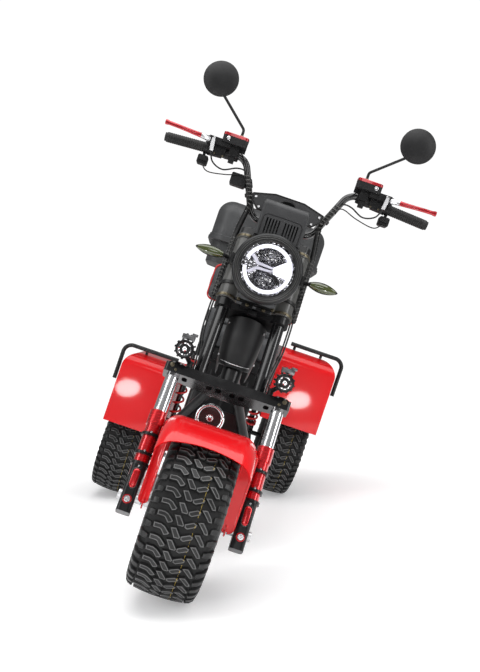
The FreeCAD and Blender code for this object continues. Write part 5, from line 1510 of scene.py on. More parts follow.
@dataclass
class Headlight(Assembly):
    """Round lamp with a light ring, split bars and two chambers."""

    centre: Point = (0, 170, 951)
    lens_radius: float = 79.7

    def at(self, x: float, z: float, y: float) -> Vector:
        """Point given from the lamp's middle, at a depth."""
        return Vector((self.centre[0] + x, y, self.centre[2] + z))

    def plate(self, form: Form, outline: Outline, front: float, back: float) -> Form:
        """Flat pad between two depths, softened in front."""
        return form.patch(outline, [(0, back), (0, front + 0.8), (0.8, front)], self.at)

    def lens(self, shop: Workshop) -> None:
        """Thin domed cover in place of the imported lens."""
        front = facing(self.at(0, 0, 176), FRONT)
        outer = [(self.lens_radius * math.sin(t), 6 - 6 * (1 - math.cos(t * 0.98)))
                 for t in (math.pi / 2 * i / 10 for i in range(11))]
        inner = [(max(r - 1.6, 0), h - 1.6) for r, h in reversed(outer)]
        shop.make(
            "headlight_cover", Form().lathe([*outer, *inner], front, 72), [Paints.LENS], replaces=["headlight_lens"])

    def rings(self, shop: Workshop) -> None:
        """Black surround, grooved bezel lips and the light ring with its gap."""
        middle = self.at(0, 0, 0)
        surround = band(Form(), middle, (79.9, 84), (170.6, 178), (0, 360), 96)
        shop.make("headlight_ring", surround, [Paints.GLOSS_BLACK])
        lips = Form()
        for radius, depth in ((89.5, 170.2), (95, 171.8)):
            band(lips, middle, (radius, radius + 1.3), (depth, depth + 4), (0, 360), 96)
        shop.make("bezel_lips", lips, [Paints.GREY])
        glow = band(Form(), middle, (62.5, 74), (175.4, 180.5), (188, 528), 88)
        wedge = [(15, 8), (20, -9), (61.5, -13), (62, 0), (59, 19), (50, 37)]
        self.plate(glow, list(reversed(wedge)), 175.4, 180.5)
        shop.make("light_ring", glow, [Paints.LED])

    def bars(self, shop: Workshop) -> None:
        """Two bent bars that run together in the middle."""
        form = Form()
        for side in (1, -1):
            line = [(-57, 23), (-50, 30), (-30, 11.5), (14, 8), (14, 2), (-33, 3)]
            outline = [(x, 1 + side * z) for x, z in line]
            self.plate(form, outline if side < 0 else list(reversed(outline)), 175, 181)
        shop.make("light_bars", form, [Paints.LED_DIM])

    def chambers(self, shop: Workshop) -> None:
        """Visors, bulbs and dark masks in the upper and lower chamber."""
        form = Form()
        for sign in (1, -1):
            spot = self.at(4, sign * 34, 190)
            rows = []
            for step in range(13):
                turn = math.pi * step / 12
                c, s = 24 * math.cos(turn), 15 * math.sin(turn) * sign
                rows.append([spot + Vector((c, -13, s)), spot + Vector((c * 0.94, -13, s * 0.92)),
                             spot + Vector((c * 0.9, 0, s * 0.85)), spot + Vector((c, 0, s))])
            form.loft(rows)
            for u in (-16, 0, 16):
                form.lathe(
                    [(0, 12), (4, 11), (6, 6), (6.4, 0)], facing(spot + Vector((u * 0.8, -1, -sign * 3)), FRONT), 16)
        shop.make("lamp_visors", form, [Paints.FACETS])
        dark = Form()
        for sign in (1, -1):
            outline = [
                (4, sign * 14), (30, sign * 12), (48, sign * 28), (40, sign * 40), (26, sign * 20), (6, sign * 18)]
            self.plate(dark, outline if sign > 0 else list(reversed(outline)), 178.2, 181.6)
        shop.make("lamp_masks", dark, [Paints.GLOSS_BLACK])

    def build(self, shop: Workshop) -> None:
        """Make the lamp's inside and cover."""
        self.lens(shop)
        self.rings(shop)
        self.bars(shop)
        self.chambers(shop)


@dataclass
class SmallLamps(Assembly):
    """Turn signals, spot lamps and tail lamp."""

    root_x: float = 134
    tip_x: float = 233
    signal: Point = (0, 310, 959)
    spot: Point = (152, 112, 652)

    def leaf(self, shrink: float, front: float) -> list[Row]:
        """Cross sections of a leaf-shaped body along X.

        Args:
            shrink: Share of the full section that is kept.
            front: Shift towards the front.

        Returns:
            Rows of points from root to tip.
        """
        rows = []
        for step in range(15):
            t = step / 14
            x = self.root_x + 2 + (self.tip_x - self.root_x - 3) * t
            swell = math.sin(math.pi * min(1, 0.06 + t * 0.93)) ** 0.72
            half = 16.5 * swell * shrink + 0.4
            depth = 11 * swell * shrink + 0.4
            rows.append(
                [Vector((x, self.signal[1] - front + depth * c, self.signal[2] + half * s)) for c, s in circle(20, 1)])
        return rows

    def signals(self, shop: Workshop) -> None:
        """Leaf lamps with tinted front faces, on their stalks."""
        body = Form().loft(self.leaf(1, 0))
        body.tube(smooth_path([(125.3, 340, 959), (134, 334, 959), (141, 322, 959), (152, 312, 959)], 5), 6, 16)
        body.with_brush(1).loft(self.leaf(0.86, 3.4)[1:-1])
        shop.pair("turn_signal", body, [Paints.PLASTIC, Paints.AMBER], ["turn_signals"])

    def spots(self, shop: Workshop) -> None:
        """Projector glass with its bright eye, inner ring and bezel on the spot lamps."""
        x, y, z = self.spot
        for side in Side:
            place = facing((side.value * x, y, z), FRONT)
            form = Form()
            form.lathe([(20.6, -6), (20.6, 0.4), (21.6, 1.2), (26.4, 1.2), (27.2, 0.2), (27.2, -2)], place, 48)
            form.with_brush(1).lathe(
                [(15, -5.8), (15, -1.5), (16.4, -0.6), (18.6, -0.6), (20.2, -5.8)], place, 48, ring=True)
            form.with_brush(2).lathe([(8.4, -1), (11, -0.8), (14.4, -4.4)], place, 48)
            form.with_brush(3).lathe([(0, 5.4), (3.4, 4.7), (6.2, 2.8), (8.2, -0.2), (8.6, -3)], place, 40)
            shop.make(
                "spot_glass_" + side.word, form, [Paints.GLOSS_BLACK, Paints.FACETS, Paints.PROJECTOR, Paints.CHROME])

    def tail(self, shop: Workshop) -> None:
        """Ribbed red lens with a bright frame on the tail lamp."""
        back = 1670.3
        lay = flat_face((0, back, 680), ACROSS, UP, REAR)
        form = Form().patch(
            list(reversed(rounded_outline(72, 19, 8))), [(0, -4), (0, 0.6), (1.5, 1.4), (3, 1.4), (4, 0.4)], lay)
        form.with_brush(1)
        for i in range(13):
            u = -60 + 10 * i
            form.tube([(u, back + 0.2, 666), (u, back + 0.2, 694)], 2.2, 8)
        shop.make("tail_lens_ribs", form, [Paints.CHROME, Paints.RED_LENS], Body.CHASSIS)

    def build(self, shop: Workshop) -> None:
        """Make the small lamps."""
        self.signals(shop)
        self.spots(shop)
        self.tail(shop)


@dataclass
class Horn(Assembly):
    """Disc horn with a black face, two dark red ridges and a bright cap."""

    centre: Point = (-18, 313, 466)

    def build(self, shop: Workshop) -> None:
        """Make the horn's face."""
        x, y, z = self.centre
        place = facing((x, y, z), FRONT)
        form = Form()
        form.lathe([(38, -2.5), (33, -7.5), (24, -8.3), (14, -6.2), (10, -5.2), (0, -5.2)], place, 64)
        form.with_brush(1)
        for i in range(2):
            radius = 28 - 9 * i
            form.lathe([(radius, -6.4 + i * 0.3), (radius + 1.4, -5.2), (radius + 2.6, -6.6)], place, 64)
        form.with_brush(2).lathe([(9.5, -5.6), (9.5, -1.6), (8.4, -0.8), (0, -0.6)], place, 32)
        shop.make("horn_face", form, [Paints.GLOSS_BLACK, Paints.RED_LEVER, Paints.CHROME], Body.CHASSIS)


# Cockpit


@dataclass
class Controls(Assembly):
    """Levers, grips, reservoirs, clamps and small cables on the handlebar."""

    bar_end: Point = (440, 440, 1272)
    bar_way: Point = (0.99753, -0.01523, -0.06853)

    def along_bar(self, from_end: float) -> Vector:
        """Point in the outer bar on the left side."""
        return Vector(self.bar_end) - Vector(self.bar_way) * from_end

    def lever(self) -> Form:
        """Blade lever with its polished root, on the left side."""
        root, knee, tip = (Vector(p) for p in ((300, 374, 1296), (352, 347, 1295), (449, 352, 1300)))
        path = smooth_path([root, (root + knee) * 0.5 + Vector((-2, -5, 0)), knee, (402, 343.5, 1297), tip], 7)
        form = Form()
        root_end, last = 9, len(path) - 1
        for brush, low, high in ((1, 0, root_end), (0, root_end, last)):
            form.with_brush(brush)
            rows = []
            for i in range(low, high + 1):
                t = i / last
                ahead = (path[min(i + 1, last)] - path[max(i - 1, 0)]).normalized()
                out = Vector((-ahead.y, ahead.x, 0)).normalized()
                half = 9.4 - 2.6 * min(1, t * 1.5) + (1.6 if t > 0.93 else 0)
                thick = 3.8 + (1.8 if t > 0.93 else 0)
                rows.append([path[i] + out * thick * c + Vector((0, 0, half * s)) for c, s in circle(16, 1)])
            form.loft(rows)
        form.with_brush(1)
        side = ((296, 1304), (296, 1284), (292, 1262), (281, 1262), (284, 1288), (286, 1304))
        form.loft([[(x, y, z) for x, z in side] for y in (361.5, 367.7)])
        form.fix(screw_head(4.5, 4), (291, 385, 1307.4), UP)
        return form

    def grip(self) -> Form:
        """Ribs and bright end cap of one grip."""
        way = Vector(self.bar_way)
        form = Form()
        place = facing(self.along_bar(0), way)
        profile = []
        for i in range(17):
            h = -120 + 6.6 * i
            profile += [(15.8, h), (16.9, h + 1.2), (16.9, h + 4.2), (15.8, h + 5.4)]
        form.lathe([(15, -121), *profile, (16.6, -7), (16.4, 0.6), (14.8, 2.2), (14, 1)], place, 36)
        form.with_brush(1).lathe([(15, -1), (14.6, 2.4), (12, 5.6), (6, 7.6), (0, 8.2)], place, 36)
        return form

    def reservoir(self) -> Form:
        """Red lid with two screws, and the sight glass, on one reservoir."""
        form = Form()
        lay = flat_face((226, 404, 1337), ACROSS, REAR, UP)
        form.patch(rounded_outline(41.6, 25.6, 12, 6), [(0, -7), (0, 1.4), (1.6, 3), (6, 3), (7, 2)], lay)
        form.with_brush(1)
        for u in (-31, 31):
            form.join(screw_head(3.4, 2.2), Matrix.Translation((226 + u, 404, 1339.2)))
        form.lathe([(6, -0.5), (6, 1.4), (5, 2), (0, 2.2)], facing((248, 379, 1321), FRONT), 24)
        return form

    def clamps(self) -> Form:
        """Small boxes, clamp screws and the mirror's nut beside one grip."""
        form = Form()
        shell = [
            (11.6, 0), (19, 1), (20, 3), (20, 22), (18.6, 23), (18.6, 25), (20, 26), (20, 45), (19, 47), (11.6, 48)]
        form.lathe(shell, facing(self.along_bar(238), Vector(self.bar_way)), 32)
        for low, high in (((206, 408, 1276), (236, 428, 1312)), ((212, 414, 1254), (230, 430, 1276)),
                          ((246, 417, 1262), (284, 421, 1302)), ((296, 424, 1236), (322, 433, 1252)),
                          ((186, 424, 1296), (214, 430, 1318))):
            form.box(low, high)
        form.with_brush(1)
        for x, z in ((251, 1298), (251, 1267), (279, 1267)):
            form.fix(screw_head(3.2, 2.6), (x, 417, z), FRONT)
        form.join(hex_head(7, 9), Matrix.Translation((212, 404, 1337)))
        return form

    def cables(self) -> Form:
        """Brake hose and two thin leads from one lever to the bundle, on the left side."""
        form = Form()
        meet = Vector((151, 424, 1224))
        hose = [(288, 372, 1262), (272, 376, 1232), (236, 392, 1222), (196, 414, 1244), (168, 421, 1246), meet]
        lead = [(309, 428, 1226), (282, 424, 1206), (222, 426, 1216), (172, 426, 1232), meet + Vector((-3, -2, -8))]
        third = [(200, 424, 1300), (184, 418, 1282), (164, 420, 1252), meet + Vector((2, -3, -16))]
        for route, radius, sides in ((hose, 2.6, 10), (lead, 1.9, 8), (third, 1.9, 8)):
            form.tube(smooth_path(route, 8), radius, sides)
        return form

    def build(self, shop: Workshop) -> None:
        """Dress both sides of the bar."""
        shop.pair("brake_lever", self.lever(), [Paints.RED_LEVER, Paints.ALLOY], ["hand_levers"])
        shop.pair("grip_skin", self.grip(), [Paints.RUBBER, Paints.ALLOY])
        shop.pair("reservoir_lid", self.reservoir(), [Paints.RED_LEVER, Paints.CHROME])
        shop.pair("bar_clamps", self.clamps(), [Paints.PLASTIC, Paints.BRASS])
        shop.pair("brake_lines", self.cables(), [Paints.CABLE])


@dataclass
class Wraps(Assembly):
    """Spiral wrap and side leads of the two cable bundles."""

    bundle_radius: float = 7.5
    pitch: float = 13

    def path(self, stance: Stance) -> list[Vector]:
        """Middle line of the left bundle."""
        return smooth_path([(154.3, 422.4, 1236), (136, 422.4, 1194), (119, 420, 1152), stance.fork(129, 20, 940),
                            stance.fork(130, 20, 900), stance.fork(130, 20, 800), stance.fork(130, 20, 682)], 14)

    def build(self, shop: Workshop) -> None:
        """Wind the wrap round both bundles."""
        line = self.path(shop.stance)
        lengths = [0]
        for a, b in zip(line, line[1:]):
            lengths.append(lengths[-1] + (b - a).length)
        total = lengths[-1]
        points = []
        steps = int(total / self.pitch * 12)
        cursor = 0
        for i in range(steps + 1):
            s = total * i / steps
            while cursor < len(line) - 2 and lengths[cursor + 1] < s:
                cursor += 1
            share = (s - lengths[cursor]) / (lengths[cursor + 1] - lengths[cursor])
            middle = line[cursor].lerp(line[cursor + 1], share)
            ahead = (line[cursor + 1] - line[cursor]).normalized()
            side = (ACROSS - ahead * ahead.x).normalized()
            up = ahead.cross(side)
            turn = 2 * math.pi * s / self.pitch
            points.append(middle + (side * math.cos(turn) + up * math.sin(turn)) * (self.bundle_radius + 0.9))
        form = Form().tube(points, 1.9, 6)
        leads = Form()
        for shift in (-1, 1):
            leads.tube([p + Vector((shift * 6.4, -6.4, 0)) for p in line[10:]], 2, 8)
        shop.pair("spiral_wrap", form, [Paints.GREY])
        shop.pair("thin_leads", leads, [Paints.CABLE])


@dataclass
class Dash(Assembly):
    """Screws, border, gauge and trim line of the instruments, and the bar clamps' bolts."""

    plate_front: float = 378
    cowl_front: float = 262

    def screws(self) -> Form:
        """Four bright screws in the instrument plate."""
        form = Form()
        for x, z in ((-106, 1174), (106, 1174), (-88, 1146), (88, 1146)):
            form.fix(screw_head(3.8, 2.6), (x, self.plate_front, z), FRONT)
        return form

    def panel(self) -> Form:
        """Raised border of the instrument plate."""
        outer = [
            (-115, 1158), (-91, 1136), (91, 1136), (115, 1158), (119, 1184), (48, 1202), (-48, 1202), (-119, 1184)]
        lay = flat_face((0, self.plate_front, 0), ACROSS, UP, FRONT)
        rows = [[lay(u, v, lift) for u, v in drawn_in(outer, reach)]
                for reach, lift in ((0.4, -0.4), (0.4, 1), (1, 1.6), (3.4, 1.6), (4, 1), (4, -0.4))]
        return Form().loft(rows, caps=False, ring=True)

    def line(self) -> Form:
        """Rounded line on the cowl above its slats."""
        path = [(x, self.cowl_front + 0.2, z)
                for x, z in [(-62, 1054), (-62, 1106), (-58, 1114), (-50, 1118), (0, 1119), (50, 1118), (58, 1114),
                             (62, 1106), (62, 1054)]]
        return Form().tube(path, 1.5, 8)

    def gauge(self) -> Form:
        """Round gauge with its glass behind the plate, facing the rider."""
        place = facing((0, 392, 1168), Vector((0, 0.8, 0.6)).normalized())
        form = Form().lathe([(30, -6), (30, 14), (28.5, 16), (26, 16), (25.5, 13), (0, 13)], place, 48)
        form.with_brush(1).lathe([(25, 13.2), (20, 14.4), (10, 15.2), (0, 15.4)], place, 48)
        return form

    def build(self, shop: Workshop) -> None:
        """Make the dash details."""
        shop.make("plate_screws", self.screws(), [Paints.ALLOY])
        shop.make("plate_border", self.panel(), [Paints.PLASTIC])
        shop.make("cowl_line", self.line(), [Paints.PLASTIC])
        shop.make("rider_gauge", self.gauge(), [Paints.PLASTIC, Paints.PROJECTOR])
        bolts = Form()
        for side in (-1, 1):
            for behind in (-14, 14):
                spot = Vector((side * 38, 444 + behind * 0.9, 1130.6))
                bolts.join(screw_head(4.2, 4), Matrix.Translation(spot))
        shop.make("bar_clamp_bolts", bolts, [Paints.ALLOY])


@dataclass
class MirrorGlass(Assembly):
    """Glass and rim of the two mirrors, on the rider's side."""

    centre: Point = (333, 403, 1496)

    def build(self, shop: Workshop) -> None:
        """Make both glasses."""
        for side in Side:
            x, y, z = self.centre
            place = facing((side.value * x, y, z), REAR)
            form = Form().lathe([(56.4, -1), (56.8, 0.4), (55, 1.4), (52.5, 1.4), (51.8, 0.2), (50, -0.4)], place, 64)
            form.with_brush(1).lathe([(51.6, 0.3), (30, 0.45), (0, 0.5)], place, 64)
            shop.make("mirror_glass_" + side.word, form, [Paints.PLASTIC, Paints.CHROME])


# Seats


@dataclass
class Cushion:
    """One padded cushion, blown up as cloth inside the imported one."""

    node: str
    swell: float
    pressure: float
    inset: float
    voxel: float = 0.006
    frames: int = 18
    stiffness: float = 22

    def shell(self, shop: Workshop) -> bpy.types.Object:
        """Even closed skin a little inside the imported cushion."""
        source = shop.nodes[self.node]
        piece = add_object(self.node + "_pad", source.data.copy())
        piece.data.transform(source.matrix_world)
        piece.data.materials.clear()
        piece.data.materials.append(Paints.SEAT.material())
        remesh = piece.modifiers.new("even", "REMESH")
        remesh.mode = "VOXEL"
        remesh.voxel_size = self.voxel
        soften = piece.modifiers.new("soften", "SMOOTH")
        soften.iterations = 4
        shop.bake(piece)
        for point, normal in [(p, p.normal.copy()) for p in piece.data.vertices]:
            point.co -= normal * self.inset
        return piece

    def blow(self, piece: bpy.types.Object) -> None:
        """Swell the skin by a short cloth run and keep each point's move within its limit."""
        scene = bpy.context.scene
        start = [p.co.copy() for p in piece.data.vertices]
        cloth = piece.modifiers.new("cloth", "CLOTH")
        cloth_settings = cloth.settings
        cloth_settings.use_pressure = True
        cloth_settings.uniform_pressure_force = self.pressure
        cloth_settings.tension_stiffness = cloth_settings.compression_stiffness = self.stiffness
        cloth_settings.effector_weights.gravity = 0
        cloth_settings.quality = 6
        cloth.collision_settings.use_collision = False
        cloth.point_cache.frame_start = 1
        cloth.point_cache.frame_end = self.frames + 1
        for frame in range(1, self.frames + 1):
            scene.frame_set(frame)
        seen = piece.evaluated_get(bpy.context.evaluated_depsgraph_get())
        moved = [p.co.copy() for p in seen.data.vertices]
        piece.modifiers.clear()
        scene.frame_set(1)
        for point, old, new in zip(piece.data.vertices, start, moved):
            step = new - old
            if step.length > self.swell:
                step *= self.swell / step.length
            point.co = old + step

    def build(self, shop: Workshop, low: Vector, high: Vector) -> bpy.types.Object:
        """Make the cushion.

        Args:
            shop: Workshop that bakes it.
            low: Lowest corner that it may reach.
            high: Highest corner that it may reach.

        Returns:
            The cushion.
        """
        piece = self.shell(shop)
        self.blow(piece)
        for point in piece.data.vertices:
            for axis in range(3):
                point.co[axis] = min(max(point.co[axis], low[axis]), high[axis])
        round_off = piece.modifiers.new("round", "SUBSURF")
        round_off.levels = round_off.render_levels = 1
        shop.bake(piece)
        return piece


@dataclass
class Seats(Assembly):
    """Rider's seat, passenger's seat and backrest with their seams and piping."""

    cushions: tuple[Cushion, ...] = (
        Cushion("rider_seat", 0.010, 4, 0.005), Cushion("passenger_seat", 0.010, 4, 0.005),
        Cushion("backrest", 0.008, 4, 0.004, 0.005))

    def box(self, shop: Workshop, node: str) -> tuple[Vector, Vector]:
        """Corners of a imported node's box."""
        source = shop.nodes[node]
        points = [source.matrix_world @ p.co for p in source.data.vertices]
        return (Vector([min(p[i] for p in points) for i in range(3)]),
                Vector([max(p[i] for p in points) for i in range(3)]))

    def piping(self, shop: Workshop) -> None:
        """Red piping round the backrest's edges and cross seams on the seats."""
        front, back, z0, z1 = 1376, 1417, 845, 1001
        half, corner = 196, 26
        form = Form()
        for y in (front, back):
            path = [(u, y, (z0 + z1) / 2 + v) for u, v in rounded_outline(half, (z1 - z0) / 2, corner, 6)]
            form.tube([*path, path[0]], 3.4, 8, caps=False)
        shop.make("backrest_piping", form, [Paints.PIPING], Body.CHASSIS)
        seams = Form()
        for y, top, width in (
                (800, 751, 128), (900, 751.4, 128), (1000, 751, 128), (1190, 811.2, 142), (1290, 811.4, 142)):
            path = [(width * t, y, top - 3 * t * t) for t in (i / 8 - 1 for i in range(17))]
            seams.tube(path, 1.6, 6)
        shop.make("seat_seams", seams, [Paints.SEAT], Body.CHASSIS)

    def build(self, shop: Workshop) -> None:
        """Make the cushions, then what is sewn on them."""
        for cushion in self.cushions:
            low, high = self.box(shop, cushion.node)
            piece = cushion.build(shop, low, high)
            shop.settle(piece, Slot.LEATHER, Body.CHASSIS, 60, [cushion.node])
        self.piping(shop)


# Frame and body


@dataclass
class ForkFittings(Assembly):
    """Brackets, bolts and leads between the lower yoke and the headlight."""

    def plates(self) -> Form:
        """Bracket plates on the middle yoke and end plates on the lower yoke, in fork coordinates."""
        form = Form()
        for low, high in (((-64, -27, 669), (64, -19, 677)), ((-40, -33, 652), (-4, -17, 666)),
                          ((6, -31, 655), (52, -17, 663)), ((-12, -30, 634), (14, -17, 648))):
            form.box(low, high)
        form.with_brush(1)
        for spot in ((-52, -27, 673), (-22, -33, 659), (30, -33, 659), (56, -27, 673)):
            form.fix(hex_head(5, 4), spot, FRONT)
        for x in (-172, 172):
            form.fix(hex_head(5.5, 5), (x, -30, 398), FRONT)
            form.fix(hex_head(3.6, 4), (x * 0.92, -30, 386), FRONT)
        for x in (-162, 162):
            for turn in (0.6, 2.54):
                spot = Vector((x + 23 * math.cos(turn), 23 * math.sin(turn), 413))
                form.join(screw_head(2.6, 2.2), Matrix.Translation(spot))
        return form

    def lamp_hoods(self) -> Form:
        """Grey clamp blocks over the spot lamps."""
        form = Form()
        for x in (-152, 152):
            form.box((x - 19, 122, 680), (x + 19, 156, 694))
            form.box((x + 8, 124, 694), (x + 24, 150, 702))
            for u in (-11, 11):
                form.join(hex_head(3.6, 3.2), Matrix.Translation((x + u * 0.6, 139, 694)))
        return form

    def leads(self, stance: Stance) -> Form:
        """Leads that run on from both bundles behind the lower yoke."""
        form = Form()
        outer = ((130, 20, 684), (131, 24, 640), (128, 26, 560), (116, 22, 480), (112, 20, 412))
        inner = ((60, 30, 800), (76, 24, 716), (58, 26, 664))
        for route, shifts, radius in ((outer, (0, 7), 2.6), (inner, (0,), 3)):
            for side in (-1, 1):
                for shift in shifts:
                    path = [stance.fork(side * (x - shift), behind, up) for x, behind, up in route]
                    form.tube(smooth_path(path, 8), radius, 8)
        return form

    def build(self, shop: Workshop) -> None:
        """Make the fittings that turn with the fork."""
        turn = shop.stance.fork_turn
        shop.make("yoke_fittings", Form().join(self.plates(), turn), [Paints.BLACK, Paints.BRASS], trim=Trim(0.8))
        shop.make("spot_lamp_clamps", self.lamp_hoods(), [Paints.SILVER_GREY], trim=Trim(1.4))
        shop.make("lower_leads", self.leads(shop.stance), [Paints.CABLE])
        stays = Form()
        for x in (-119, 119):
            for y, z in ((16, 232), (-16, 218)):
                aim = Vector((math.copysign(1, x), 0, 0))
                stays.fix(hex_head(4.6, 4), (x + aim.x * 2, y, z), aim)
        shop.make("stay_bolts", stays, [Paints.CHROME])


@dataclass
class Shocks(Assembly):
    """Colours of the two coil-over shocks."""

    damper_reach: float = 15.5

    def build(self, shop: Workshop) -> None:
        """Paint each damper apart from its spring."""
        for side in Side:
            node = shop.nodes["shock_" + side.word]
            inverse = shop.stance.upright.inverted()
            points = [inverse @ (node.matrix_world @ p.co) for p in node.data.vertices]
            low, high = (self.end(points, pick(points, key=lambda p: p.z)) for pick in (min, max))
            axis = (high - low).normalized()
            node.data.materials.append(Paints.GLOSS_BLACK.material())
            for face in node.data.polygons:
                centre = sum((points[i] for i in face.vertices), Vector()) / len(face.vertices)
                arm = centre - low
                if (arm - axis * arm.dot(axis)).length < self.damper_reach:
                    face.material_index = len(node.data.materials) - 1

    @staticmethod
    def end(points: Sequence[Vector], tip: Vector) -> Vector:
        """Middle of the end face round one outermost point."""
        near = [p for p in points if (p - tip).length < 19]
        return Vector([(min(p[i] for p in near) + max(p[i] for p in near)) / 2 for i in range(3)])


@dataclass
class Luggage(Assembly):
    """Latch, hinges and ribs of the top case, and bolts of its rack."""

    middle_x: float = -22
    front: float = 1450
    back: float = 1840
    split: float = 1120

    def base(self) -> Form:
        """Hinge barrels in front, latch plate and lock behind."""
        form = Form()
        for u in (-120, 120):
            x = self.middle_x + u
            form.box((x - 24, self.front - 6, self.split - 30), (x + 24, self.front + 15, self.split - 6))
            form.tube([(x - 24, self.front - 4, self.split - 2), (x + 24, self.front - 4, self.split - 2)], 4, 16)
        form.box(
            (self.middle_x - 34, self.back - 14, self.split - 46), (self.middle_x + 34, self.back + 5, self.split - 4))
        form.with_brush(1).fix(screw_head(9, 3), (self.middle_x, self.back + 5, self.split - 26), REAR)
        return form

    def lid(self) -> Form:
        """Raised panel and two long ribs on the lid's roof."""
        form = Form()
        top = 1296
        lay = flat_face((self.middle_x, (self.front + self.back) / 2, top), ACROSS, REAR, UP)
        form.patch(rounded_outline(150, 100, 46, 8), [(0, -3), (0, -0.6), (2, 0.6), (6, 0.6), (8, -0.4)], lay)
        for u in (-166, 166):
            path = [(self.middle_x + u, self.front + 96, top - 1.4), (self.middle_x + u, self.back - 96, top - 1.4)]
            form.tube(path, 3.4, 12)
        return form

    def build(self, shop: Workshop) -> None:
        """Make the case's fittings."""
        shop.make("case_fittings", self.base(), [Paints.CASE_DARK, Paints.CHROME], Body.CHASSIS, Trim(1.2))
        shop.make("case_lid_ribs", self.lid(), [Paints.CASE], Body.CASE_LID)
        bolts = Form()
        for u in (-80, 80):
            for y in (1462, 1600, 1676):
                bolts.fix(hex_head(5, 4), (u, y, 997), DOWN)
        shop.make("rack_bolts", bolts, [Paints.CHROME], Body.CHASSIS)


@dataclass
class Bodywork(Assembly):
    """Deck ribs, wiring cover, side panels and fastenings of the chassis."""

    deck_top: float = 354.3
    battery_half: float = 108
    boot_half: float = 140
    rib_count: int = 22
    rib_pitch: float = 15.0

    def deck_tree(self) -> Tree:
        """Tree that repeats one rib along the deck."""
        tree = Tree("deck_ribs", {"Count": 3, "Pitch": 0.01, "Finish": Paints.RUBBER.material()})
        index = tree.node("GeometryNodeInputIndex")
        along = tree.maths("MULTIPLY", index.outputs[0], "=Pitch")
        place = tree.node("ShaderNodeCombineXYZ", {}, {1: along})
        points = tree.node("GeometryNodePoints", {}, {"Count": "=Count", "Position": place.outputs[0]})
        ribs = tree.node("GeometryNodeInstanceOnPoints", {}, {"Points": points.outputs[0], "Instance": "=Geometry"})
        return tree.finish(ribs.outputs[0])

    def deck(self, shop: Workshop) -> None:
        """Rubber ribs across the foot deck."""
        rib = shop.raw("deck_rib", Form().patch(rounded_outline(112, 3.4, 3.3, 4), [(0, -0.4), (0, 1.2), (1, 2)],
                                                flat_face((0, 548, self.deck_top), ACROSS, REAR, UP)), [Paints.RUBBER],
                       placed=False)
        whole = self.deck_tree().run(
            shop, "deck_ribs", rib.data.copy(), {"Count": self.rib_count, "Pitch": self.rib_pitch,
                                                 "Finish": Paints.RUBBER.material()})
        bpy.data.objects.remove(rib)
        whole.data.transform(shop.stance.upright)
        shop.settle(whole, Slot.RUBBER, Body.CHASSIS)

    def panels(self) -> Form:
        """Ribs and screws on the battery box, and the side panels under the seat."""
        form = Form()
        for side in (-1, 1):
            for i in range(3):
                z = 226 + 22 * i
                x = side * (self.battery_half + 0.4)
                form.tube([(x, 500, z), (x, 900, z)], 2.6, 8)
            lay = flat_face((side * self.boot_half, 1120, 674), REAR, UP, ACROSS * side)
            outline = rounded_outline(330, 34, 20, 5)
            form.patch(outline if side > 0 else list(reversed(outline)), [(0, -2), (0, 0.6), (1.4, 1.6), (4, 1.6),
                                                                          (5.2, 0.6)], lay)
        for x in (-86, 86):
            for z in (356, 470):
                form.fix(screw_head(3.6, 2.6), (x, 414, z), FRONT)
        return form

    def fastenings(self, shop: Workshop) -> Form:
        """Pivot bolts, shock bolts, plate screws and shield screws."""
        form = Form()
        for side in (-1, 1):
            aim = Vector((side, 0, 0))
            form.fix(hex_head(10, 8), (side * 188, 1120, 300), aim)
            centre = shop.stance.wheel(Body["REAR_WHEEL_" + Side(side).name])
            form.fix(hex_head(11, 9), (side * 152, centre.y, centre.z), -aim)
            form.fix(screw_head(3.2, 2.4), (side * 70, 1663.1, 592), REAR)
            for up in (500, 610):
                spot = shop.stance.fork(side * 55, 22, up)
                form.fix(screw_head(3.4, 2.4), spot, Vector((side * 0.96, -0.28, 0)))
        return form

    def build(self, shop: Workshop) -> None:
        """Make the body details."""
        self.deck(shop)
        shop.make("body_panels", self.panels(), [Paints.PLASTIC], Body.CHASSIS)
        cover = Form()
        cover.loft([[(x, 446 + y * (1 - k * 0.3), z) for x, y in rounded_outline(w, 26, 12, 5)]
                    for k, (w, z) in enumerate(((92, 484), (96, 492), (96, 600), (88, 628), (70, 638)))])
        for x in (-60, 0, 60):
            cover.tube([(x, 418.5, 500), (x, 424, 606)], 4, 8)
        shop.make("wiring_cover", cover, [Paints.PLASTIC], Body.CHASSIS)
        shop.make("body_bolts", self.fastenings(shop), [Paints.ALLOY], Body.CHASSIS)
        arc = Form()
        line = [shop.stance.fork(50 * math.sin(a), -1 - 44 * math.cos(a) + 36, 494 - 26 * math.cos(a))
                for a in (math.radians(-62 + 124 * i / 20) for i in range(21))]
        arc.tube(line, 1.1, 6)
        shop.make("shield_line", arc, [Paints.ALLOY], Body.CHASSIS)


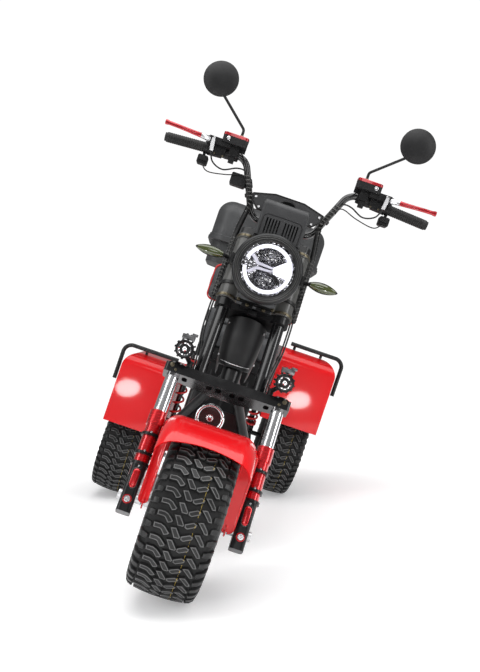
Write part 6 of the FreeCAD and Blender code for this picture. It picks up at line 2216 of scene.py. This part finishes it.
@dataclass
class FrontSkirts(Assembly):
    """Red side flanges of the front fender and plated sleeves on the fork tubes."""

    flange_x: float = 121.5
    flange_front: float = -12

    def build(self, shop: Workshop) -> None:
        """Make both flanges and sleeves."""
        flanges, sleeves = Form(), Form()
        for side in Side:
            outline = rounded_outline(14.5, 111, 13, 5)
            flanges.patch(outline if side is Side.RIGHT else list(reversed(outline)),
                          [(0, 0), (0, 2.4), (1, 3.2), (5, 3.2), (6.2, 2.4)],
                          flat_face((side.value * self.flange_x, self.flange_front, 333), ACROSS * side.value, UP,
                                    FRONT))
            sleeves.tube([shop.stance.fork(side.value * 162, 0, up) for up in (256.5, 300, 375.5)], 19.3, 48)
        shop.make("fender_skirts", flanges, [Paints.RED])
        shop.make("fork_sleeves", sleeves, [Paints.CHROME])


def main(frame: dict[str, Any]) -> None:
    """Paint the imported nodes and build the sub-assemblies in order.

    Args:
        frame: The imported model.
    """
    logging.basicConfig(level=logging.INFO, format="%(message)s")
    stance = Stance(frame["joints"])
    shop = Workshop(frame, stance)
    Studio().build(stance)
    coats = {
        Paints.WHEEL: ("front_rim", "rear_rim_left", "rear_rim_right"),
        Paints.RED: ("front_fender", "rear_fender_left", "rear_fender_right"),
        Paints.RED_LEG: ("fork_sliders",),
        Paints.CHROME: ("fork_tubes", "horn"),
        Paints.BLACK: ("main_frame", "case_rack", "guard_rail_left", "guard_rail_right", "swingarm_left",
                       "swingarm_right", "mid_yoke", "top_yoke", "headlight_ears", "fork_shoes", "slider_rings",
                       "battery_box"),
        Paints.GLOSS_BLACK: ("upper_tubes", "yoke_plate", "handlebar"),
        Paints.GREY: ("fork_shrouds", "foot_deck"),
        Paints.ALLOY: ("front_axle", "front_caliper"),
        Paints.PLASTIC: ("hand_controls", "mirrors", "aux_lamps", "neck_cover", "boot_box",
                         "plate_holder"),
        Paints.COWL: ("cowl", "instrument_plate"),
        Paints.BEZEL: ("headlight_shell",),
        Paints.CASE: ("top_case_base", "top_case_lid"),
        Paints.RUBBER: ("hand_grips",),
        Paints.CABLE: ("cable_bundles",),
        Paints.MIRROR_BOWL: ("headlight_reflector",),
        Paints.RED_LENS: ("tail_lamp",),
        Paints.SPRING: ("shock_left", "shock_right"),
    }
    for finish, nodes in coats.items():
        shop.coat(finish, *nodes)
    for assembly in (Tyres(), WheelTrim(), ForkTrim(), Headlight(), SmallLamps(), Horn(), Controls(), Wraps(), Dash(),
                     MirrorGlass(), Seats(), ForkFittings(), Shocks(), Luggage(), Bodywork(), FrontSkirts()):
        log.info("%s", type(assembly).__name__)
        assembly.build(shop)


if __name__ == "__main__":
    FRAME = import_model()
    main(FRAME)
